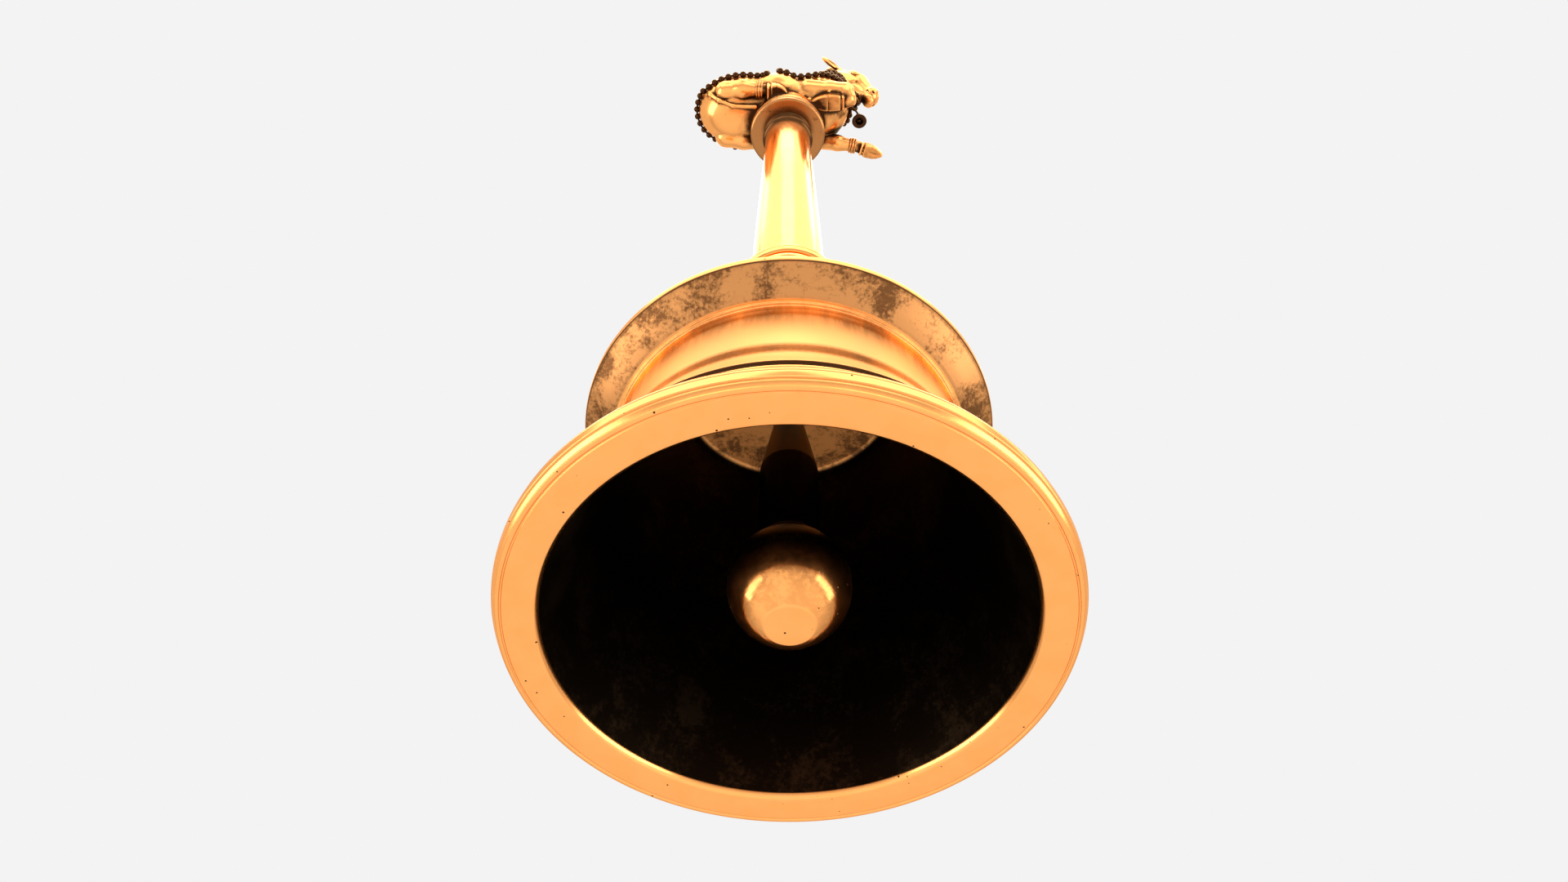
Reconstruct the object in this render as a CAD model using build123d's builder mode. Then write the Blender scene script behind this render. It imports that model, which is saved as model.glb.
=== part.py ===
"""Temple hand bell: a turned brass bell with a long handle and a recumbent bull on top.

Millimetres. The origin is the centre of the mouth, +Z runs up the axis to the bull,
and the bull faces +X.
"""
import os
from math import asin, atan2, cos, pi, radians, sin, tan

from build123d import *

os.makedirs("parts", exist_ok=True)

# Bell casting
MOUTH_R = 40.0
MOUTH_INNER_R = 34.5
LIP_BULGE_R = 40.75
LIP_BULGE_Z = 2.0
LIP_TOP_R = 36.75
LIP_TOP_Z = 9.0
WAIST_FOOT_R = 33.85
WAIST_FOOT_Z = 16.2
WAIST_MID_R = 29.9
WAIST_MID_Z = 25.0
WAIST_TOP_R = 28.1
WAIST_TOP_Z = 41.4
RIDGE_R = 29.1
RIDGE_Z = 42.0
FLANGE_R = 34.0
FLANGE_LOW_Z = 45.5
FLANGE_TOP_Z = 46.7
CEILING_R = 20.5
CEILING_Z = 63.7
CROWN_R = 11.0
CROWN_Z = 70.0

# Handle stack, all turned about the bell's axis
FERRULE_TOP_Z = 96.6
BASE_RING_R = 10.55
BASE_RING_TOP_Z = 100.4
COLLAR_Z = 183.2
CAPITAL_Z = 187.7
CAPITAL_R = 9.8
PLINTH_Z = 190.6
PLINTH_R = 8.8
FIGURE_Z = 194.0

# Tie rod and the hardware under the ceiling
ROD_R = 3.0
ROD_TOP_Z = 128.0
WASHER_R = 7.5
WASHER_T = 1.0
NUT_ACROSS_FLATS = 10.0
NUT_T = 2.2

# Clapper suspension: a staple eye, a stirrup link, and a pin bar through the clapper's tang
STAPLE_WIRE_R = 0.8
STAPLE_EYE_R = 2.2
LINK_WIRE_R = 0.7
LINK_TOP_R = 1.9
LINK_BAR_HALF = 3.8
LINK_CORNER_R = 0.9
PLAY = 0.12
PIN_Z = 52.0
PIN_HOLE_R = 0.78

# Clapper
BALL_R = 9.0
BALL_Z = 9.9
BALL_END_Z = 1.65
STEM_R = 4.7
STEM_CONE_Z = 37.2
STEM_TOP_R = 2.7
STEM_TOP_Z = 50.2
TANG_R = 2.0
TANG_HALF = 1.3

# Bull figure
BODY_Y = -1.5
BODY_Z = 203.2
BODY_FRONT_X = 17.6
BODY_REAR_X = -24.4
BEAD_R = 0.85
BEAD_PITCH = 1.98
FLANK_RISE = radians(14)


def write(part, name):
    """Label one finished piece and write its STEP file."""
    part.label = name
    export_step(part, f"parts/{name}.step")


def turn():
    """Revolve the pending XZ profile about the bell's axis."""
    revolve(axis=Axis.Z)


def limb(start, end, start_r, end_r):
    """Add a round, tapered limb with domed ends to the part being built."""
    root = Vector(*start)
    along = Vector(*end) - root
    length = along.length
    side = along.cross(Vector(0, 0, 1))
    if side.length < 0.001:
        side = Vector(0, 1, 0)
    with BuildSketch(Plane(origin=root, x_dir=along, z_dir=side)) as profile:
        with BuildLine():
            bottom = CenterArc((0, 0), start_r, 90, 90)
            top = CenterArc((length, 0), end_r, 0, 90)
            Line(bottom @ 0, top @ 1)
            Line(bottom @ 1, top @ 0)
        make_face()
    revolve(profile.sketch, axis=Axis(root, along))


def ring(centre, along, ring_r, wire_r):
    """Add a round-section ring about the given axis to the part being built."""
    plane = Plane(origin=centre, z_dir=along)
    with BuildSketch(Plane(origin=centre, x_dir=plane.x_dir, z_dir=plane.y_dir)) as section:
        with Locations((ring_r, 0)):
            Circle(wire_r)
    revolve(section.sketch, axis=Axis(centre, along))


def flatten_base():
    """Cut the part being built off flat at the top of the plinth."""
    with BuildSketch(Plane.XY.offset(FIGURE_Z)) as below:
        Rectangle(2 * MOUTH_R, 2 * MOUTH_R)
    extrude(below.sketch, amount=-CAPITAL_R, mode=Mode.SUBTRACT)


def beads(points, bead_r=BEAD_R):
    """Add one bead at each point to the part being built."""
    with Locations(*points):
        Sphere(bead_r)


def spaced(path, pitch=BEAD_PITCH):
    """Points along a path, one bead pitch apart."""
    count = int(path.length / pitch)
    return [path @ (index / count) for index in range(count + 1)]


# ---------------------------------------------------------------- bell casting
with BuildPart() as bell_shell:
    with BuildSketch(Plane.XZ):
        with BuildLine():
            # outside, from the mouth up
            Line((MOUTH_INNER_R, 0), (MOUTH_R, 0))
            Spline(
                (MOUTH_R, 0),
                (LIP_BULGE_R, LIP_BULGE_Z),
                (38.9, 6.2),
                (LIP_TOP_R, LIP_TOP_Z),
                tangents=((1, 0.35), (-0.75, 1)),
            )
            Polyline(
                (LIP_TOP_R, LIP_TOP_Z),
                (35.9, 9.6),
                (34.3, 10.6),
                (33.6, 14.0),
                (34.0, 14.0),
                (34.0, 14.85),
                (33.5, 15.1),
                (33.5, 15.9),
                (WAIST_FOOT_R, WAIST_FOOT_Z),
            )
            Spline(
                (WAIST_FOOT_R, WAIST_FOOT_Z),
                (WAIST_MID_R, WAIST_MID_Z),
                (WAIST_TOP_R, WAIST_TOP_Z),
                tangents=((-0.75, 1), (0.02, 1)),
            )
            Polyline(
                (WAIST_TOP_R, WAIST_TOP_Z),
                (RIDGE_R, 41.7),
                (RIDGE_R, RIDGE_Z),
                (33.5, 45.3),
                (33.75, FLANGE_LOW_Z),
                (FLANGE_R, 45.9),
                (FLANGE_R, FLANGE_TOP_Z),
                (31.2, 47.1),
            )
            Spline(
                (31.2, 47.1),
                (28.4, 56.5),
                (21.5, 65.6),
                (CROWN_R, CROWN_Z),
                tangents=((0, 1), (-1, 0.12)),
            )
            Line((CROWN_R, CROWN_Z), (ROD_R, CROWN_Z))
            Line((ROD_R, CROWN_Z), (ROD_R, CEILING_Z))
            # inside, from the ceiling down
            Line((ROD_R, CEILING_Z), (CEILING_R - 1.5, CEILING_Z))
            RadiusArc((CEILING_R - 1.5, CEILING_Z), (CEILING_R, CEILING_Z - 1.5), -1.5)
            Spline(
                (CEILING_R, CEILING_Z - 1.5),
                (24.6, 42.0),
                (29.7, 18.0),
                (MOUTH_INNER_R, 0),
            )
        make_face()
    turn()
write(bell_shell.part, "bell_shell")

# ---------------------------------------------------------------- handle stack
with BuildPart() as neck_ferrule:
    with BuildSketch(Plane.XZ):
        with BuildLine():
            Line((ROD_R, CROWN_Z), (CROWN_R, CROWN_Z))
            Line((CROWN_R, CROWN_Z), (CROWN_R, 71.6))
            Spline((CROWN_R, 71.6), (7.9, 78.0), (7.2, 84.0), tangents=((-0.6, 0.2), (0, 1)))
            Polyline((7.2, 84.0), (8.9, 84.6), (8.9, 86.4), (7.4, 87.0))
            Spline((7.4, 87.0), (7.6, 90.0), (9.3, 93.0), tangents=((0, 1), (1, 0.9)))
            ThreePointArc((9.3, 93.0), (10.9, 94.7), (9.3, 96.4))
            Polyline((9.3, 96.4), (8.6, FERRULE_TOP_Z), (ROD_R, FERRULE_TOP_Z), (ROD_R, CROWN_Z))
        make_face()
    turn()
write(neck_ferrule.part, "neck_ferrule")

with BuildPart() as handle_base_ring:
    with BuildSketch(Plane.XZ):
        with BuildLine():
            Polyline(
                (ROD_R, FERRULE_TOP_Z),
                (8.9, FERRULE_TOP_Z),
                (8.9, 97.4),
                (10.2, 97.5),
                (BASE_RING_R, 97.9),
                (BASE_RING_R, 100.0),
                (10.2, BASE_RING_TOP_Z),
                (ROD_R, BASE_RING_TOP_Z),
                (ROD_R, FERRULE_TOP_Z),
            )
        make_face()
    turn()
write(handle_base_ring.part, "handle_base_ring")

with BuildPart() as handle_shaft:
    with BuildSketch(Plane.XZ):
        with BuildLine():
            Polyline((0, ROD_TOP_Z), (ROD_R, ROD_TOP_Z), (ROD_R, BASE_RING_TOP_Z), (9.0, BASE_RING_TOP_Z))
            Spline((9.0, BASE_RING_TOP_Z), (7.9, 101.6), (7.6, 104.0), tangents=((-1, 0.3), (0, 1)))
            Spline(
                (7.6, 104.0),
                (7.48, 118.0),
                (6.96, 138.5),
                (5.96, 172.5),
                (5.8, COLLAR_Z),
                tangents=((0, 1), (0, 1)),
            )
            Polyline((5.8, COLLAR_Z), (0, COLLAR_Z), (0, ROD_TOP_Z))
        make_face()
    turn()
write(handle_shaft.part, "handle_shaft")

with BuildPart() as handle_collar:
    with BuildSketch(Plane.XZ):
        with BuildLine():
            Line((0, COLLAR_Z), (5.9, COLLAR_Z))
            ThreePointArc((5.9, COLLAR_Z), (6.7, 184.1), (6.1, 185.1))
            Spline((6.1, 185.1), (5.3, 186.2), (6.2, CAPITAL_Z), tangents=((-0.9, 0.4), (0.9, 0.4)))
            Polyline((6.2, CAPITAL_Z), (0, CAPITAL_Z), (0, COLLAR_Z))
        make_face()
    turn()
write(handle_collar.part, "handle_collar")

with BuildPart() as capital_disc:
    with BuildSketch(Plane.XZ):
        with BuildLine():
            Polyline(
                (0, CAPITAL_Z),
                (9.35, CAPITAL_Z),
                (CAPITAL_R, 188.0),
                (CAPITAL_R, 188.9),
                (9.55, 189.1),
                (CAPITAL_R, 189.3),
                (CAPITAL_R, 190.2),
                (9.5, PLINTH_Z),
                (0, PLINTH_Z),
                (0, CAPITAL_Z),
            )
        make_face()
    turn()
write(capital_disc.part, "capital_disc")

with BuildPart() as figure_plinth:
    with BuildSketch(Plane.XZ):
        with BuildLine():
            Line((0, PLINTH_Z), (9.2, PLINTH_Z))
            Spline((9.2, PLINTH_Z), (8.5, 192.2), (PLINTH_R, FIGURE_Z))
            Polyline((PLINTH_R, FIGURE_Z), (0, FIGURE_Z), (0, PLINTH_Z))
        make_face()
    turn()
write(figure_plinth.part, "figure_plinth")

# ---------------------------------------------------------------- tie rod and ceiling hardware
nut_low_z = CEILING_Z - WASHER_T - NUT_T

with BuildPart() as tie_rod:
    with BuildSketch(Plane.XY.offset(nut_low_z)):
        Circle(ROD_R)
    extrude(amount=ROD_TOP_Z - nut_low_z)
write(tie_rod.part, "tie_rod")

with BuildPart() as crown_washer:
    with BuildSketch(Plane.XY.offset(CEILING_Z - WASHER_T)):
        Circle(WASHER_R)
        Circle(ROD_R, mode=Mode.SUBTRACT)
    extrude(amount=WASHER_T)
    chamfer(crown_washer.edges().group_by(Axis.Z)[0].sort_by(SortBy.LENGTH)[-1], 0.3)
write(crown_washer.part, "crown_washer")

with BuildPart() as crown_nut:
    with BuildSketch(Plane.XY.offset(nut_low_z)):
        RegularPolygon(NUT_ACROSS_FLATS / 2, 6, major_radius=False)
        Circle(ROD_R, mode=Mode.SUBTRACT)
    extrude(amount=NUT_T)
write(crown_nut.part, "crown_nut")

staple_z = nut_low_z - STAPLE_EYE_R - STAPLE_WIRE_R
with BuildPart() as clapper_staple:
    ring((0, 0, staple_z), (1, 0, 0), STAPLE_EYE_R, STAPLE_WIRE_R)
    with BuildSketch(Plane.XY.offset(nut_low_z - STAPLE_WIRE_R)):
        Circle(1.8)
    extrude(amount=STAPLE_WIRE_R)
write(clapper_staple.part, "clapper_staple")

# ---------------------------------------------------------------- clapper
swing_z = staple_z - STAPLE_EYE_R
link_top_z = swing_z + STAPLE_WIRE_R + LINK_WIRE_R + PLAY
link_arc_z = link_top_z - LINK_TOP_R
# the apex at which the two slanted sides, tangent to the top arc, would meet
side_run = Vector(LINK_BAR_HALF, link_arc_z - PIN_Z).length
side_angle = atan2(link_arc_z - PIN_Z, LINK_BAR_HALF) + asin(LINK_TOP_R / side_run)
link_apex_z = PIN_Z + LINK_BAR_HALF * tan(side_angle)

with BuildPart() as clapper_link:
    with BuildLine(Plane.XZ) as loop:
        FilletPolyline(
            (LINK_BAR_HALF, PIN_Z),
            (0, link_apex_z),
            (-LINK_BAR_HALF, PIN_Z),
            radius=(LINK_CORNER_R, LINK_TOP_R, LINK_CORNER_R),
            close=True,
        )
    with BuildSketch(Plane(origin=(0, 0, PIN_Z), z_dir=(1, 0, 0))):
        Circle(LINK_WIRE_R)
    sweep(path=loop.wire())
write(clapper_link.part, "clapper_link")

stem_low_z = BALL_Z + (BALL_R**2 - STEM_R**2) ** 0.5

with BuildPart() as clapper_stem:
    with BuildSketch(Plane.XZ):
        with BuildLine():
            Polyline(
                (0, stem_low_z),
                (STEM_R, stem_low_z),
                (STEM_R, STEM_CONE_Z),
                (STEM_TOP_R, STEM_TOP_Z - 0.5),
                (STEM_TOP_R - 0.5, STEM_TOP_Z),
                (0, STEM_TOP_Z),
                (0, stem_low_z),
            )
        make_face()
    turn()
    with BuildSketch(Plane.YZ):
        with Locations((0, PIN_Z)):
            Circle(TANG_R)
        with Locations((0, (PIN_Z + STEM_TOP_Z - 1) / 2)):
            Rectangle(2 * TANG_R, PIN_Z - STEM_TOP_Z + 1)
        with Locations((0, PIN_Z)):
            Circle(PIN_HOLE_R, mode=Mode.SUBTRACT)
    extrude(amount=TANG_HALF, both=True)
write(clapper_stem.part, "clapper_stem")

with BuildPart() as clapper_ball:
    with Locations((0, 0, BALL_Z)):
        Sphere(BALL_R)
    split(bisect_by=Plane.XY.offset(BALL_END_Z), keep=Keep.TOP)
    split(bisect_by=Plane.XY.offset(stem_low_z), keep=Keep.BOTTOM)
write(clapper_ball.part, "clapper_ball")

# ---------------------------------------------------------------- bull
body_plane = Plane(origin=(0, BODY_Y, BODY_Z), x_dir=(1, 0, 0), z_dir=(0, 0, -1))


def body_outline():
    """Draw the bull's side outline seen from above: rump, flank and chest."""
    rump = ThreePointArc((BODY_REAR_X, 0), (-20.5, 6.6), (-12.0, 9.4))
    flank = Spline((-12.0, 9.4), (0.0, 10.6), (9.0, 9.6), tangents=((1, 0.32), (1, -0.4)))
    chest = ThreePointArc((9.0, 9.6), (15.3, 6.2), (BODY_FRONT_X, 0))
    return rump, flank, chest


with BuildPart() as bull_torso:
    with BuildSketch(body_plane):
        with BuildLine():
            body_outline()
            Line((BODY_FRONT_X, 0), (BODY_REAR_X, 0))
        make_face()
    revolve(axis=Axis((0, BODY_Y, BODY_Z), (1, 0, 0)))
    flatten_base()
write(bull_torso.part, "bull_torso")

NECK_ROOT = (7.5, BODY_Y, 206.5)
NECK_TOP = (14.0, BODY_Y, 216.6)
NECK_ROOT_R = 8.8
NECK_TOP_R = 5.6
with BuildPart() as bull_neck:
    limb(NECK_ROOT, NECK_TOP, NECK_ROOT_R, NECK_TOP_R)
    add(bull_torso.part, mode=Mode.SUBTRACT)
write(bull_neck.part, "bull_neck")

with BuildPart() as bull_hump:
    limb((1.5, BODY_Y, 213.0), (3.5, BODY_Y, 216.5), 4.6, 3.4)
    add(bull_torso.part, mode=Mode.SUBTRACT)
    add(bull_neck.part, mode=Mode.SUBTRACT)
write(bull_hump.part, "bull_hump")

POLL = (14.2, BODY_Y, 219.6)
MUZZLE = (23.4, BODY_Y - 0.3, 212.4)
with BuildPart() as bull_head:
    limb(POLL, MUZZLE, 4.7, 3.2)
    add(bull_neck.part, mode=Mode.SUBTRACT)
write(bull_head.part, "bull_head")

with BuildPart() as bull_horns:
    for side_sign in (-1, 1):
        stations = (
            ((12.9, BODY_Y + side_sign * 1.6, 221.8), (-0.1, side_sign * 0.8, 0.6), 1.6),
            ((12.4, BODY_Y + side_sign * 3.9, 224.3), (-0.1, side_sign * 0.5, 0.85), 1.35),
            ((12.2, BODY_Y + side_sign * 4.7, 226.9), (0.05, 0, 1), 1.0),
            ((12.6, BODY_Y + side_sign * 4.4, 229.6), (0.2, -side_sign * 0.2, 0.95), 0.45),
        )
        for centre, along, radius in stations:
            with BuildSketch(Plane(origin=centre, x_dir=(1, 0, -0.1), z_dir=along)):
                Circle(radius)
        loft()
    add(bull_head.part, mode=Mode.SUBTRACT)
    add(bull_neck.part, mode=Mode.SUBTRACT)
write(bull_horns.part, "bull_horns")

with BuildPart() as bull_ears:
    for side_sign in (-1, 1):
        ear_plane = Plane(
            origin=(13.0, BODY_Y + side_sign * 3.6, 219.4),
            x_dir=(-0.55, side_sign * 0.83, 0.12),
            z_dir=(-0.4, -side_sign * 0.15, -0.9),
        )
        with BuildSketch(ear_plane) as leaf:
            with BuildLine():
                ThreePointArc((0, 0), (3.0, 1.5), (6.6, 0))
                ThreePointArc((6.6, 0), (3.0, -1.5), (0, 0))
            make_face()
        extrude(leaf.sketch, amount=0.45, both=True)
    add(bull_head.part, mode=Mode.SUBTRACT)
    add(bull_neck.part, mode=Mode.SUBTRACT)
write(bull_ears.part, "bull_ears")


def leg(name, joints, radii):
    """Build one folded leg as a chain of limbs outside the torso."""
    with BuildPart() as part:
        for index in range(len(joints) - 1):
            limb(joints[index], joints[index + 1], radii[index], radii[index + 1])
        flatten_base()
        add(bull_torso.part, mode=Mode.SUBTRACT)
        add(bull_neck.part, mode=Mode.SUBTRACT)
    write(part.part, name)
    return part.part


right_foreleg = leg(
    "bull_right_foreleg",
    ((6.0, -9.2, 200.5), (16.4, -8.2, 198.6), (9.8, -6.6, 197.0)),
    (3.2, 2.7, 2.0),
)
left_foreleg = leg(
    "bull_left_foreleg",
    ((8.0, 5.4, 198.0), (18.5, 6.6, 196.9)),
    (3.0, 1.9),
)
right_hindleg = leg(
    "bull_right_hindleg",
    ((-17.0, -8.2, 199.4), (-6.6, -9.6, 197.0)),
    (4.0, 2.0),
)
left_hindleg = leg(
    "bull_left_hindleg",
    ((-16.0, 4.6, 199.0), (-5.6, 6.6, 197.0)),
    (4.0, 2.0),
)
LEGS = (right_foreleg, left_foreleg, right_hindleg, left_hindleg)

HOOVES = (
    ((9.4, -6.5, 196.95), (6.2, -6.4, 196.6), 2.15, 1.2),
    ((19.6, 6.75, 196.9), (23.8, 7.4, 196.6), 2.1, 1.4),
    ((-5.4, -9.7, 196.95), (-1.6, -9.9, 196.5), 2.15, 1.2),
    ((-4.4, 6.8, 196.95), (-0.6, 7.2, 196.5), 2.15, 1.2),
)
with BuildPart() as bull_hooves:
    for start, end, start_r, end_r in HOOVES:
        limb(start, end, start_r, end_r)
    flatten_base()
    for leg_part in LEGS:
        add(leg_part, mode=Mode.SUBTRACT)
    add(bull_torso.part, mode=Mode.SUBTRACT)
write(bull_hooves.part, "bull_hooves")

with BuildPart() as bull_tail:
    limb((-23.0, -7.4, 199.5), (-19.6, -7.0, 196.2), 0.8, 0.9)
    limb((-19.6, -7.0, 196.2), (-9.0, -5.2, 195.6), 0.9, 1.3)
    flatten_base()
    add(bull_torso.part, mode=Mode.SUBTRACT)
    add(right_hindleg, mode=Mode.SUBTRACT)
write(bull_tail.part, "bull_tail")

# ---------------------------------------------------------------- ornaments
ANKLETS = (
    ((-7.6, -9.5, 197.2), (1, -0.13, -0.2)),
    ((-6.4, -9.6, 197.0), (1, -0.13, -0.2)),
    ((-7.6, 6.2, 197.4), (1, 0.19, -0.19)),
    ((-6.4, 6.4, 197.2), (1, 0.19, -0.19)),
    ((17.6, 6.5, 197.0), (1, 0.11, -0.1)),
    ((18.9, 6.65, 196.9), (1, 0.11, -0.1)),
)
with BuildPart() as bull_anklets:
    for centre, along in ANKLETS:
        ring(centre, along, 2.1, 0.5)
    flatten_base()
write(bull_anklets.part, "bull_anklets")

with BuildLine(body_plane):
    rump_line, flank_line, chest_line = body_outline()
rump_near = spaced(rump_line) + [p for p in spaced(flank_line) if -11.2 < p.X < -6.5]
rump_near = [Vector(p.X - BEAD_R * 0.3, p.Y - BEAD_R * 0.5, p.Z) for p in rump_near]
rump_far = [Vector(p.X, 2 * BODY_Y - p.Y, p.Z) for p in rump_near[1:]]
with BuildPart() as rump_garland:
    beads(rump_near + rump_far)
write(rump_garland.part, "rump_garland")

with BuildPart() as flank_garland:
    flank_points = []
    for point in spaced(flank_line)[6:-2] + spaced(chest_line)[:5]:
        reach = BODY_Y - point.Y + BEAD_R * 0.5
        for side_sign in (-1, 1):
            flank_points.append(
                Vector(
                    point.X,
                    BODY_Y + side_sign * reach * cos(FLANK_RISE),
                    BODY_Z + reach * sin(FLANK_RISE),
                )
            )
    beads(flank_points)
write(flank_garland.part, "flank_garland")

neck_axis = Vector(*NECK_TOP) - Vector(*NECK_ROOT)


def neck_station(share):
    """A point on the neck's axis and the neck's radius there."""
    centre = Vector(*NECK_ROOT) + neck_axis * share
    return centre, NECK_ROOT_R + (NECK_TOP_R - NECK_ROOT_R) * share


neck_points = []
for share in (0.36, 0.54):
    centre, neck_r = neck_station(share)
    with Locations(Plane(origin=centre, z_dir=neck_axis)):
        loop_of_beads = PolarLocations(neck_r + BEAD_R * 0.6, int(2 * pi * neck_r / BEAD_PITCH))
    for place in loop_of_beads:
        if not bull_torso.part.is_inside(place.position):
            neck_points.append(place.position)
with BuildPart() as neck_garland:
    beads(neck_points)
write(neck_garland.part, "neck_garland")

with BuildPart() as bull_collar:
    centre, neck_r = neck_station(0.74)
    ring(tuple(centre), tuple(neck_axis), neck_r, 0.55)
write(bull_collar.part, "bull_collar")

PENDANT_X = 19.4
PENDANT_Z = 197.2
with BuildPart() as pendant_bell:
    with BuildSketch(Plane.XZ) as pendant_section:
        with BuildLine():
            Line((1.5, 0), (2.0, 0))
            Spline((2.0, 0), (1.55, 1.4), (0.55, 2.7), tangents=((-0.3, 1), (-1, 0.3)))
            Polyline((0.55, 2.7), (0.45, 3.4), (0, 3.4), (0, 1.9))
            Spline((0, 1.9), (1.0, 1.3), (1.5, 0), tangents=((1, 0), (0.2, -1)))
        make_face()
    with Locations((PENDANT_X, BODY_Y + 1.4, PENDANT_Z)):
        add(revolve(pendant_section.sketch, axis=Axis.Z, mode=Mode.PRIVATE))
write(pendant_bell.part, "pendant_bell")
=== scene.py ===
from math import atan2, cos, pi, radians, sin, sqrt

import bmesh
import bpy
import numpy as np
from mathutils import Matrix, Vector


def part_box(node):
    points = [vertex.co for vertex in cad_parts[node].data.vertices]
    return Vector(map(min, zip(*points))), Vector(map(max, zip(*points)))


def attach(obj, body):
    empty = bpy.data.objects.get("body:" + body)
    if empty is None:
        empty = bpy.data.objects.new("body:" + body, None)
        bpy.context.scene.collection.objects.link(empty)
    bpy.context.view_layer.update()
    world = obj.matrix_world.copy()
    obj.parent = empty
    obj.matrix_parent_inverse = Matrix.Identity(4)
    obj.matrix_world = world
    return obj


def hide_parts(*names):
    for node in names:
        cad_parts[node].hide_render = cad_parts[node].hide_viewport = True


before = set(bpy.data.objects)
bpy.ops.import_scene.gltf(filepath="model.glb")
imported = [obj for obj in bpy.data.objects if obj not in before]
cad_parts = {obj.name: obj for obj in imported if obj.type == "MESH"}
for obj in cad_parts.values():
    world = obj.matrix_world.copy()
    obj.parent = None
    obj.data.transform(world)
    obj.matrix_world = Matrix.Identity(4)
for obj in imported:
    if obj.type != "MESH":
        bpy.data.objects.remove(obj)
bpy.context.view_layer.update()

# A turned brass prayer bell with a recumbent bull on its handle.
# Outlines and carvings are in millimetres, and MM takes them to metres.
MM = 0.001
ROUND = 192
CARVE_STEP = 0.3


# ---------------------------------------------------------------- outlines


def smooth_run(points, steps=8):
    """A smooth line through the points, as a list of (r, z)."""
    p = [np.array(q, float) for q in points]
    p = [2 * p[0] - p[1]] + p + [2 * p[-1] - p[-2]]
    line = []
    for a, b, c, d in zip(p, p[1:], p[2:], p[3:]):
        for i in range(steps):
            t = i / steps
            bend, twist = 2 * a - 5 * b + 4 * c - d, 3 * b - a - 3 * c + d
            line.append(0.5 * (2 * b + (c - a) * t + bend * t**2 + twist * t**3))
    line.append(p[-2])
    return [tuple(q) for q in line]


def eased(points, ease=0.15, steps=3):
    """The same outline with each sharp corner rounded, and a holding point on either side."""
    p = [np.array(q, float) for q in points]
    line = [p[0]]
    for before, here, after in zip(p, p[1:], p[2:]):
        back, on = before - here, after - here
        back_length, on_length = np.hypot(*back), np.hypot(*on)
        turn = 1 + np.dot(back, on) / (back_length * on_length)
        if turn < 0.02:
            line.append(here)
            continue
        cut = min(ease, back_length * 0.4, on_length * 0.4)
        start, stop = here + back / back_length * cut, here + on / on_length * cut
        line.append(start + back / back_length * min(cut * 0.5, back_length * 0.08))
        for i in range(steps + 1):
            t = i / steps
            line.append((1 - t) ** 2 * start + 2 * t * (1 - t) * here + t**2 * stop)
        line.append(stop + on / on_length * min(cut * 0.5, on_length * 0.08))
    line.append(p[-1])
    return [tuple(q) for q in line]


def arc(centre, radius, start, stop, steps=8):
    """Points on an arc, with angles in degrees."""
    turns = [radians(start + (stop - start) * i / steps) for i in range(steps + 1)]
    return [(centre[0] + radius * cos(t), centre[1] + radius * sin(t)) for t in turns]


# ---------------------------------------------------------------- meshes


def finish_mesh(name, mesh, body, material, stands_for=()):
    """Put a finished mesh in the scene on its CAD body."""
    mesh.materials.clear()
    mesh.materials.append(material)
    mesh.shade_smooth()
    piece = bpy.data.objects.new(name, mesh)
    bpy.context.scene.collection.objects.link(piece)
    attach(piece, body)
    if stands_for:
        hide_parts(*stands_for)
    return piece


def lathe_mesh(name, outline, rounds=ROUND):
    """Turn a closed (r, z) outline in millimetres about the bell's axis."""
    turns = [2 * pi * i / rounds for i in range(rounds)]
    mesh = bmesh.new()
    rings = []
    for r, z in outline:
        around = turns if r > 1e-6 else turns[:1]
        rings.append([mesh.verts.new((r * MM * cos(t), r * MM * sin(t), z * MM)) for t in around])
    for low, high in zip(rings, rings[1:]):
        for i in range(rounds):
            j = (i + 1) % rounds
            corners = [low[i % len(low)], low[j % len(low)], high[j % len(high)], high[i % len(high)]]
            corners = list(dict.fromkeys(corners))
            if len(corners) > 2:
                mesh.faces.new(corners)
    bmesh.ops.remove_doubles(mesh, verts=mesh.verts, dist=1e-7)
    bmesh.ops.recalc_face_normals(mesh, faces=mesh.faces)
    made = bpy.data.meshes.new(name)
    mesh.to_mesh(made)
    mesh.free()
    return made


def turned(name, outline, material, slot, node, body="bell", rounds=ROUND):
    """Turn an outline and put it in the scene in place of one CAD node."""
    finish_mesh(name, lathe_mesh(name, outline, rounds), body, material, [node])


# ---------------------------------------------------------------- materials


def new_group(name, sockets):
    """A shader node group with the sockets given as (name, in or out, type, default)."""
    group = bpy.data.node_groups.new(name, "ShaderNodeTree")
    ways = {"in": "INPUT", "out": "OUTPUT"}
    for socket, way, kind, default in sockets:
        made = group.interface.new_socket(socket, in_out=ways[way], socket_type=kind)
        if default is not None:
            made.default_value = default
    return group, group.nodes.new("NodeGroupInput"), group.nodes.new("NodeGroupOutput")


def add_node(tree, kind, **settings):
    """Add a node with its settings; a key such as in_Scale sets an input."""
    node = tree.nodes.new(kind)
    for key, value in settings.items():
        if key.startswith("in_"):
            node.inputs[key[3:].replace("_", " ")].default_value = value
        else:
            setattr(node, key, value)
    return node


def maths(tree, operation, a, b=None, clamp=False):
    """A Math node fed by sockets or plain numbers; returns its output."""
    node = add_node(tree, "ShaderNodeMath", operation=operation, use_clamp=clamp)
    for index, value in enumerate((a, b)):
        if value is None:
            continue
        if isinstance(value, (int, float)):
            node.inputs[index].default_value = value
        else:
            tree.links.new(value, node.inputs[index])
    return node.outputs[0]


def product(tree, first, *others):
    """Masks multiplied together."""
    for mask in others:
        first = maths(tree, "MULTIPLY", first, mask)
    return first


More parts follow.
